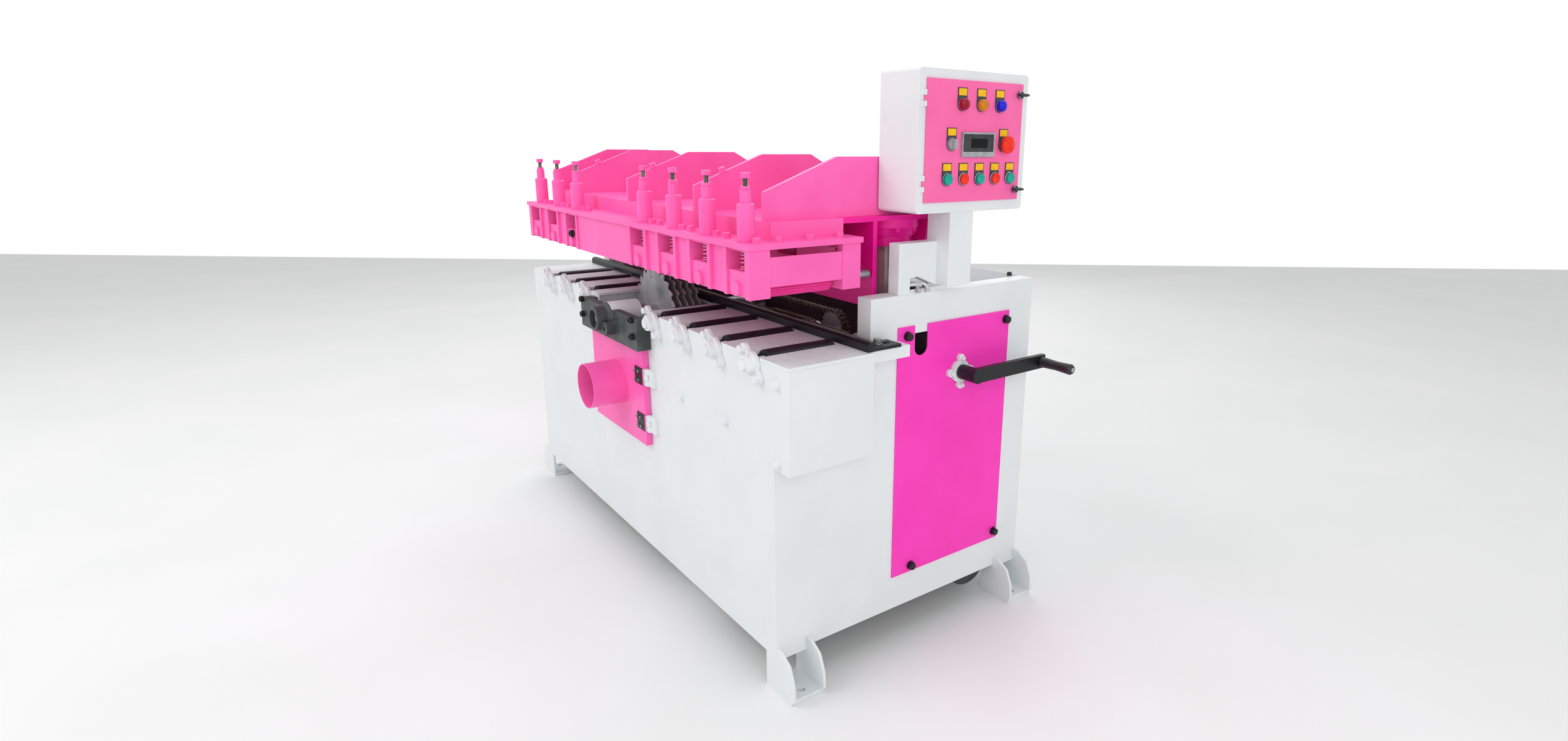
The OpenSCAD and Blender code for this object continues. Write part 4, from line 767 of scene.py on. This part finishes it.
loops = [(0, 1, "feedRadius", "rowA"), (1, 2, "feedRadius", "rowB"), (2, 3, "feedRadius", "rowA"),
         (4, 5, "feedRadius", "rowA"), (5, 6, "feedRadius", "rowB"), (1, 4, "driveRadius", "rowC")]
allPlaces = [loopMatrices(a, b, chain[radius], chain[row]) for a, b, radius, row in loops]
chainLinks = joined([copiesAt(innerLink, [m for places in allPlaces for m in places[0::2]]),
                     copiesAt(outerLink, [m for places in allPlaces for m in places[1::2]])])
handOver(chainLinks, "feedChains", "frame", ["feed_chains"])
print("chains linked:", sum(len(places) for places in allPlaces), "links")


# Lift screw: trapezoidal thread over the rear box, on the CAD foot and bevel gear
lift = {"crest": 15.0, "root": 12.2, "pitch": 6.0, "from": 908}
liftX, liftY, liftTop = mid("lift_screw", "x"), mid("lift_screw", "y"), high("lift_screw", "z")
screwFoot = nodeCopy("lift_screw", 0.6)
editAll(screwFoot)
bpy.ops.mesh.bisect(plane_co=at(0, 0, lift["from"]), plane_no=(0, 0, 1), clear_outer=True, use_fill=True)
objectMode()
quarter = lift["pitch"] / 4
liftTurns = int((liftTop - lift["from"] - 4) / lift["pitch"]) - 1
liftThread = helix([(lift["root"], 0), (lift["root"], quarter * 1.2), (lift["crest"], quarter * 2),
                    (lift["crest"], quarter * 3.2), (lift["root"], quarter * 4)],
                   lift["pitch"], liftTurns, 28)
liftThread.data.transform(stand(at(liftX, liftY, lift["from"] - 2)))
liftEnd = turned([(0, 0), (lift["root"], 0), (lift["root"], liftTop - lift["from"] - 2),
                  (lift["root"] - 2, liftTop - lift["from"]), (0, liftTop - lift["from"])])
liftEnd.data.transform(stand(at(liftX, liftY, lift["from"])))
liftScrew = joined([screwFoot, liftThread, liftEnd])
coat(liftScrew, turnedSteel)
handOver(liftScrew, "liftScrew", "lift_screw", ["lift_screw"], 30)
print("lift screw cut")


# Carbide tips on every blade tooth
tip = {"teeth": 24, "blades": 5, "first": 108, "pitch": 20, "blade": 3, "deep": 8, "wide": 2.6, "over": 0.35,
       "back": 0.9, "edge": 0.3}
bladeRadius = (high("saw_blades", "x") - low("saw_blades", "x")) / 2
tipHalf = tip["blade"] / 2 + tip["over"]
tipMaster = slab((bladeRadius - tip["deep"], -tipHalf, -tip["back"]),
                 (bladeRadius, tipHalf, tip["wide"] - tip["back"]), tip["edge"], 1)
# tips in the paler carbide: partly painted light
coat(tipMaster, carbide)
tips = copiesAt(tipMaster, [
    Matrix.Translation(at(arborX, frontY + tip["first"] + tip["blade"] / 2 + tip["pitch"] * b, arborZ))
    @ Matrix.Rotation(-2 * math.pi * k / tip["teeth"], 4, "Y")
    for b in range(tip["blades"]) for k in range(tip["teeth"])])
handOver(tips, "carbideTips", "saw")
print("blades tipped")


# Control panel: legend plates, push buttons, lamps, display, selector, stop and latches
panel = {"rim": 2, "firstButton": 66, "lampFirst": 106, "lampPitch": 61, "lampZ": 215, "holder": 15,
         "holderThick": 1.6, "plate": (12.5, 19, 34)}
doorZ = low("box_door", "z")
panelY = mid("push_button_1", "y") - panel["firstButton"]
faceX = high("box_door", "x") - panel["rim"]


def onPanel(y, z):  # a matrix that stands a piece on the door, facing whoever works the panel
    return stand(at(faceX, y, z), (1, 0, 0))


def onDoor(obj, name, replaced=()):
    return handOver(obj, name, "box_door", replaced)


def spotOf(node):  # where a fitting sits on the panel
    return mid(node, "y"), mid(node, "z")


buttonSpots = [spotOf(f"push_button_{i}") for i in range(1, 6)]
lampSpots = [(panelY + panel["lampFirst"] + panel["lampPitch"] * k, doorZ + panel["lampZ"]) for k in range(3)]
selectorSpot, stopSpot = spotOf("selector_switch"), spotOf("estop_button")
clearSelection()
bpy.ops.mesh.primitive_cylinder_add(vertices=40, radius=panel["holder"] * mm, depth=panel["holderThick"] * mm,
                                    location=(0, 0, panel["holderThick"] / 2 * mm))
holder = bpy.context.object
settle()
holder = joined([holder, slab((-panel["holder"], 0, 0),
                              (panel["holder"], panel["plate"][2] + 2, panel["holderThick"]))])
editAll(holder)
bpy.ops.mesh.convex_hull()
pickAll()
bpy.ops.mesh.dissolve_limited(angle_limit=math.radians(0.5))
objectMode()
roundEdges(holder, 0.4 * mm)
coat(holder, darkAbs)
legendHalf, legendLow, legendHigh = panel["plate"]
legendPlate = slab((-legendHalf, legendLow, panel["holderThick"] - 0.2),
                   (legendHalf, legendHigh, panel["holderThick"] + 0.6), 0.3)
coat(legendPlate, yellowAcrylic)
legend = joined([holder, legendPlate])
legends = copiesAt(legend, [onPanel(y, z) for y, z in buttonSpots + lampSpots + [selectorSpot, stopSpot]])
onDoor(legends, "legendPlates", ["panel_fittings"])

# Turned fittings, each from its (radius, height) profile in mm
ring = turned([(12.6, 0), (15, 0), (15, 3.6), (14, 4.8), (12.9, 5), (12.6, 4.4)], 40)
coat(ring, satinChrome)
rings = copiesAt(ring, [onPanel(y, z) for y, z in buttonSpots + [selectorSpot]])
onDoor(rings, "switchRings")
cap = turned([(0, -4), (5.9, -4), (5.9, 4.5), (11.6, 4.5), (12, 4.9), (12, 9.6), (11.2, 10.5), (10.2, 10.3),
              (6, 9.7), (0, 9.6)], 40)
for i, (y, z) in enumerate(buttonSpots, 1):
    button = copiesAt(cap, [onPanel(y, z)], keep=True)
    coat(button, greenAbs if i % 2 else redAbs)
    node = f"push_button_{i}"
    handOver(button, f"pushButton{i}", f"button_{i}", [node])
bpy.data.objects.remove(cap)

lampRing = turned([(12.4, 0), (14, 0), (14, 3.2), (13.5, 3.9), (12.7, 4), (12.4, 3.6)], 40)
coat(lampRing, satinChrome)
onDoor(copiesAt(lampRing, [onPanel(y, z) for y, z in lampSpots]), "lampRings")
dome = turned([(0, 0.2), (12.9, 0.2), (13, 9.5), (12.4, 12.6), (10.4, 15.4), (7.2, 17.2), (3.6, 17.9),
               (0, 18)], 40)
for lens, (y, z), name in zip((redLens, amberLens, blueLens), lampSpots, ("red", "amber", "blue")):
    lampLens = copiesAt(dome, [onPanel(y, z)], keep=True)
    coat(lampLens, lens)
    onDoor(lampLens, name + "LampLens")
bpy.data.objects.remove(dome)

# Display: grey frame, sunk glass over a dark screen
screen = {"low": (108, 100), "high": (215, 155), "depth": 6, "frame": 4, "glass": 0.84, "sunk": 1.5,
          "rim": 12, "dark": (0.72, 1.35), "darkZ": 133, "darkSunk": 0.3, "edge": 0.7}
screenTop = doorZ + screen["high"][1]
display = slab((0, panelY + screen["low"][0], doorZ + screen["low"][1]),
               (screen["depth"], panelY + screen["high"][0], screenTop))
pickFaces(display, lambda c, n: n.x > 0.9)
bpy.ops.mesh.inset(thickness=screen["frame"] * mm)
bpy.ops.transform.resize(value=(1, 1, screen["glass"]),
                         center_override=at(screen["depth"], 0, screenTop - screen["frame"]))
bpy.ops.transform.translate(value=(-screen["sunk"] * mm, 0, 0))
bpy.ops.mesh.inset(thickness=screen["rim"] * mm)
bpy.ops.transform.resize(value=(1, *screen["dark"]), center_override=at(
    screen["depth"], mid("push_button_3", "y"), doorZ + screen["darkZ"]))
bpy.ops.transform.translate(value=(-screen["darkSunk"] * mm, 0, 0))
objectMode()
roundEdges(display, screen["edge"] * mm)
glassX = screen["depth"] - screen["sunk"]
coat(display, greyAbs)
coat(display, screenGlass, lambda c, n: n.x > 0.9 and c.x / mm < glassX + 0.5)
coat(display, screenDark, lambda c, n: n.x > 0.9 and c.x / mm < glassX - screen["darkSunk"] / 2)
display.data.transform(Matrix.Translation(at(faceX, 0, 0)))
onDoor(display, "operatorDisplay")

# Selector with a grooved lever, emergency stop and wing latches
knob = turned([(0, -4), (5.9, -4), (5.9, 0.4), (11.4, 0.4), (12, 1), (12, 7.2), (11.2, 8), (0, 8)], 40)
lever = slab((-4.5, -11, 7.5), (4.5, 11, 18), 1.2)
groove = slab((-0.8, 2, 17.4), (0.8, 12, 19))
shapeBy(lever, groove, "DIFFERENCE")
selector = joined([knob, lever])
coat(selector, greyAbs)
handOver(copiesAt(selector, [onPanel(*selectorSpot)]), "selectorSwitch", "selector",
         ["selector_switch"])

collar = turned([(8.6, 0), (16, 0), (16, 3.4), (14.5, 5), (9.4, 5), (8.6, 4.2)], 40)
coat(collar, darkAbs)
onDoor(copiesAt(collar, [onPanel(*stopSpot)]), "stopCollar")
mushroom = turned([(0, -4), (7.9, -4), (7.9, 11), (17.4, 11), (19.2, 12.2), (20, 14), (20, 19.6),
                   (19.3, 21.6), (17.2, 23.6), (12, 25.2), (6, 25.9), (0, 26)], 48)
coat(mushroom, redAbs)
handOver(copiesAt(mushroom, [onPanel(*stopSpot)]), "stopButton", "estop", ["estop_button"])

wingBase = turned([(0, -4), (3.9, -4), (3.9, 0.4), (8.6, 0.4), (9, 0.8), (9, 6.8), (7.5, 8.4), (0, 8.6)], 32)
wing = slab((-16, -4, 8), (16, 4, 20))
pickFaces(wing, lambda c, n: n.z > 0.9)
bpy.ops.transform.resize(value=(0.9, 0.55, 1), center_override=(0, 0, 0))
objectMode()
roundEdges(wing, 1.6 * mm, 3)
latch = joined([wingBase, wing])
coat(latch, blackNylon)
coat(latch, satinChrome, lambda c, n: c.z < 7.9 * mm)
for i in (1, 2):
    node = f"box_latch_{i}"
    wings = copiesAt(latch, [onPanel(*spotOf(node))], keep=True)
    handOver(wings, f"boxLatch{i}", f"latch_{i}", [node])
bpy.data.objects.remove(latch)
print("panel fitted")


# Fasteners: each kind is modelled once and copied to its places
toFront = (0, -1, 0)
bearingZ = mid("lower_roller_1", "z")


def fasten(kind, material, places, name, body):  # cap screws have a head, and bolts have flats
    master = capScrew(kind["head"], material) if "head" in kind else hexBolt(kind["flats"], material)
    handOver(copiesAt(master, places), name, body)


def boltCircle(radius, count, first=0.0):  # places spread evenly round a circle, from an angle in degrees
    turns = [math.radians(first + 360 * k / count) for k in range(count)]
    return [(radius * math.cos(turn), radius * math.sin(turn)) for turn in turns]


frontBolt = {"flats": 17, "spots": [(366, 613), (596, 613), (821, 756), (821, 579)]}
fasten(frontBolt, whiteEnamel,
       [stand(at(x, frontY, z), toFront, 12 * k) for k, (x, z) in enumerate(frontBolt["spots"])],
       "frontBolts", "frame")

bearingBolt = {"flats": 16, "circle": (40, 2, 135), "proud": 10}
fasten(bearingBolt, whiteCasting,
       [stand(at(x + u, frontY - bearingBolt["proud"], bearingZ + v), toFront, 17 * i)
        for i, x in enumerate(stationX) for u, v in boltCircle(*bearingBolt["circle"])],
       "bearingBolts", "frame")

endDoorBolt = {"flats": 18, "spots": [(716, 202), (407, 198), (374, 807), (716, 807)]}
fasten(endDoorBolt, blackOxide,
       [stand(at(s * (endX + doorSheet), frontY + y, z), (s, 0, 0), 20 * k) for s in (-1, 1)
        for k, (y, z) in enumerate(endDoorBolt["spots"])], "endDoorBolts", "frame")

plateBolt = {"flats": 16, "after": (40, 86), "last": 45, "endY": (40, 120, 200), "inset": 22}
between = [x + d for x in stationX for d in plateBolt["after"] if x + d < stationX[0] + plateBolt["last"]]
plateEnd = high("head_bridge", "x") - plateBolt["inset"]
fasten(plateBolt, pinkEnamel,
       [stand(at(x, springRows[0], plateTop), turn=11 * k) for k, x in enumerate(between)]
       + [stand(at(plateEnd, frontY + y, plateTop), turn=y) for y in plateBolt["endY"]],
       "plateBolts", "head")

ribBolt = {"flats": 16, "x": (stationX[2], arborX - 4, stationX[5]), "start": 83, "run": 193, "rise": 73,
           "part": 0.42}
slopeY = railFront + ribBolt["start"] + ribBolt["run"] * ribBolt["part"]
slopeZ = high("head_bridge", "z") - ribBolt["rise"] * (1 - ribBolt["part"])
fasten(ribBolt, pinkEnamel,
       [stand(at(x, slopeY, slopeZ), (0, -ribBolt["rise"], ribBolt["run"])) for x in ribBolt["x"]],
       "ribBolts", "head")

flangeBolt = {"flats": 13, "circle": (71, 8, 22.5), "down": 32}
flangeZ = high("rear_apron", "z") - flangeBolt["down"]
# bolts under the flange in the darker pink: painted shade
fasten(flangeBolt, shadedPinkEnamel,
       [stand(at(x + u, columnY + v, flangeZ), (0, 0, -1), 9) for x in columnX
        for u, v in boltCircle(*flangeBolt["circle"])], "flangeBolts", "head")

coverBolt = {"flats": 11, "x": (-738, -246, 246, 738), "y": (490, 802)}
coverZ = high("rear_cover", "z")
fasten(coverBolt, blackOxide,
       [stand(at(x, frontY + y, coverZ), turn=x) for x in coverBolt["x"] for y in coverBolt["y"]],
       "coverBolts", "frame")

clampBolt = {"flats": 17, "x": 25, "y": 266, "up": 8}
fasten(clampBolt, zincSteel,
       [stand(at(endX + clampBolt["x"], frontY + clampBolt["y"], tableTop + clampBolt["up"]), turn=15)],
       "fenceClampBolt", "fence")

crankBolt = {"flats": 10, "circle": (35, 4), "z": 694, "proud": 14}
fasten(crankBolt, whiteEnamel,
       [stand(at(endX + crankBolt["proud"], liftY + u, crankBolt["z"] + v), (1, 0, 0))
        for u, v in boltCircle(*crankBolt["circle"])], "crankBearingBolts", "frame")

blockScrew = {"head": 18, "x": -15, "apart": 184, "proud": 40, "down": (20, 66)}
bearingTop = high("arbor_bearings", "z")
fasten(blockScrew, blackOxide,
       [stand(at(blockScrew["x"] + s * blockScrew["apart"], frontY - blockScrew["proud"], bearingTop - d),
              toFront, 8) for s in (-1, 1) for d in blockScrew["down"]],
       "bearingBlockScrews", "frame")

lockScrew = {"head": 20, "x": 10, "y": 6, "up": 3}
fasten(lockScrew, blackOxide,
       [stand(at(stationX[4] + lockScrew["x"], railFront + lockScrew["y"], blockTop + lockScrew["up"]),
              toFront, 12)], "blockLockScrew", "slide_5")

lug = {"sunk": 0.3, "thick": 1.4, "front": 17.6, "back": 3, "from": 1, "to": 47, "edge": 0.5}
hingeLugs = joined([slab((hinge["edge"] - lug["sunk"], frontY - lug["front"], z + lug["from"]),
                         (hinge["edge"] + lug["thick"], frontY - lug["back"], z + lug["to"]), lug["edge"])
                    for z in hinge["low"]])
coat(hingeLugs, whiteEnamel)
handOver(hingeLugs, "hingeLugs", "chip_door")

hingeScrew = {"head": 9, "x": (128, 148), "proud": 21, "apart": 13}
fasten(hingeScrew, zincSteel,
       [stand(at(x, frontY - hingeScrew["proud"], z + hinge["middle"] + s * hingeScrew["apart"]), toFront)
        for x in hingeScrew["x"] for z in hinge["low"] for s in (-1, 1)],
       "hingeScrews", "chip_door")

nippleAt = {"proud": 16, "up": 21.5, "lean": (0, -0.35, 1)}
nipple = turned([(0, 0), (3, 0), (3, 3), (1.6, 4), (1.6, 6), (2.4, 7), (2.4, 8.6), (1.2, 9.6), (0, 9.6)], 16)
coat(nipple, whiteCasting)
nipples = copiesAt(nipple, [stand(at(x, frontY - nippleAt["proud"], bearingZ + nippleAt["up"]),
                                  nippleAt["lean"]) for x in stationX])
handOver(nipples, "greaseNipples", "frame")
print("fasteners placed")


# Camera, floor and light
view = {"place": (2192.9, -1287.9, 1247.8), "azimuth": 52.627, "tilt": 14.307, "roll": 0.576,
        "lens": 18.556, "sensor": 36, "shiftX": -0.037, "shiftY": -0.0134, "floorEnd": 8.7, "floorSize": 24}
bpy.ops.object.camera_add(location=[v * mm for v in view["place"]])
camera = bpy.context.object
camera.rotation_euler = (Matrix.Rotation(math.radians(view["azimuth"]), 3, "Z")
                         @ Matrix.Rotation(math.radians(90 - view["tilt"]), 3, "X")
                         @ Matrix.Rotation(math.radians(view["roll"]), 3, "Z")).to_euler()
camera.data.lens = view["lens"]
camera.data.sensor_width = view["sensor"]
camera.data.shift_x = view["shiftX"]
camera.data.shift_y = view["shiftY"]
bpy.context.scene.camera = camera

clearSelection()
heading = math.radians(view["azimuth"])
ahead = Vector((-math.sin(heading), math.cos(heading), 0))
cameraFoot = at(view["place"][0], view["place"][1], 0)
floorSpot = cameraFoot + ahead * (view["floorEnd"] - view["floorSize"] / 2)
bpy.ops.mesh.primitive_plane_add(size=view["floorSize"], location=floorSpot, rotation=(0, 0, heading))
floor = bpy.context.object
floor.name = "floor"
floorPaint, floorPlace = newMaterial("paleStudioFloor")  # smooth pale floor with faint scuffs
scuffs = addNode(floorPaint, "TexNoise", inputs={"Vector": floorPlace, "Scale": perMm(600), "Detail": 4.0})
floorTint = addNode(floorPaint, "ValToRGB", inputs={"Fac": scuffs.outputs["Fac"]},
                    stops=[(0.3, linear("#EBECEC")), (0.7, linear("#F0F0F1"))])
coat(floor, showShader(floorPaint, addNode(floorPaint, "BsdfPrincipled", inputs={
    "Base Color": floorTint.outputs["Color"], "Roughness": 0.6})))

# Soft lamps: place, aim and size in metres, power in watts
lamps = {"key": ((-1.2, -4.2, 4.2), (0, 0, 0.7), 3.5, 98),
         "fill": ((4.6, -1.6, 2.2), (0.4, 0, 0.6), 3.2, 56),
         "top": ((0.2, 0.6, 4.8), (0, 0, 0.8), 4.0, 40),
         "back": ((-3.5, 3.2, 3.0), (0, 0, 0.8), 3.0, 40)}
for name, (place, aim, size, power) in lamps.items():
    bpy.ops.object.light_add(type="AREA", location=place)
    lamp = bpy.context.object
    lamp.name = name + "Lamp"
    lamp.rotation_euler = (Vector(aim) - Vector(place)).to_track_quat("-Z", "Y").to_euler()
    lamp.data.size = size
    lamp.data.energy = power

world = bpy.data.worlds.new("studioWorld")
bpy.context.scene.world = world
world.use_nodes = True
world.node_tree.nodes.clear()
rays = addNode(world, "LightPath")
shown = addNode(world, "Math", {"operation": "MAXIMUM"}, {
    0: rays.outputs["Is Camera Ray"], 1: rays.outputs["Is Transmission Ray"]})
seen = addNode(world, "Math", {"operation": "MAXIMUM"}, {
    0: shown.outputs[0], 1: rays.outputs["Is Glossy Ray"]})
strength = addNode(world, "MapRange", inputs={"Value": seen.outputs[0], "To Min": 0.62, "To Max": 1.0})
sky = addNode(world, "Background", inputs={"Color": grey(1.0), "Strength": strength.outputs["Result"]})
addNode(world, "OutputWorld", inputs={"Surface": sky.outputs[0]})
bpy.context.scene.view_settings.view_transform = "Standard"
print("stage set")
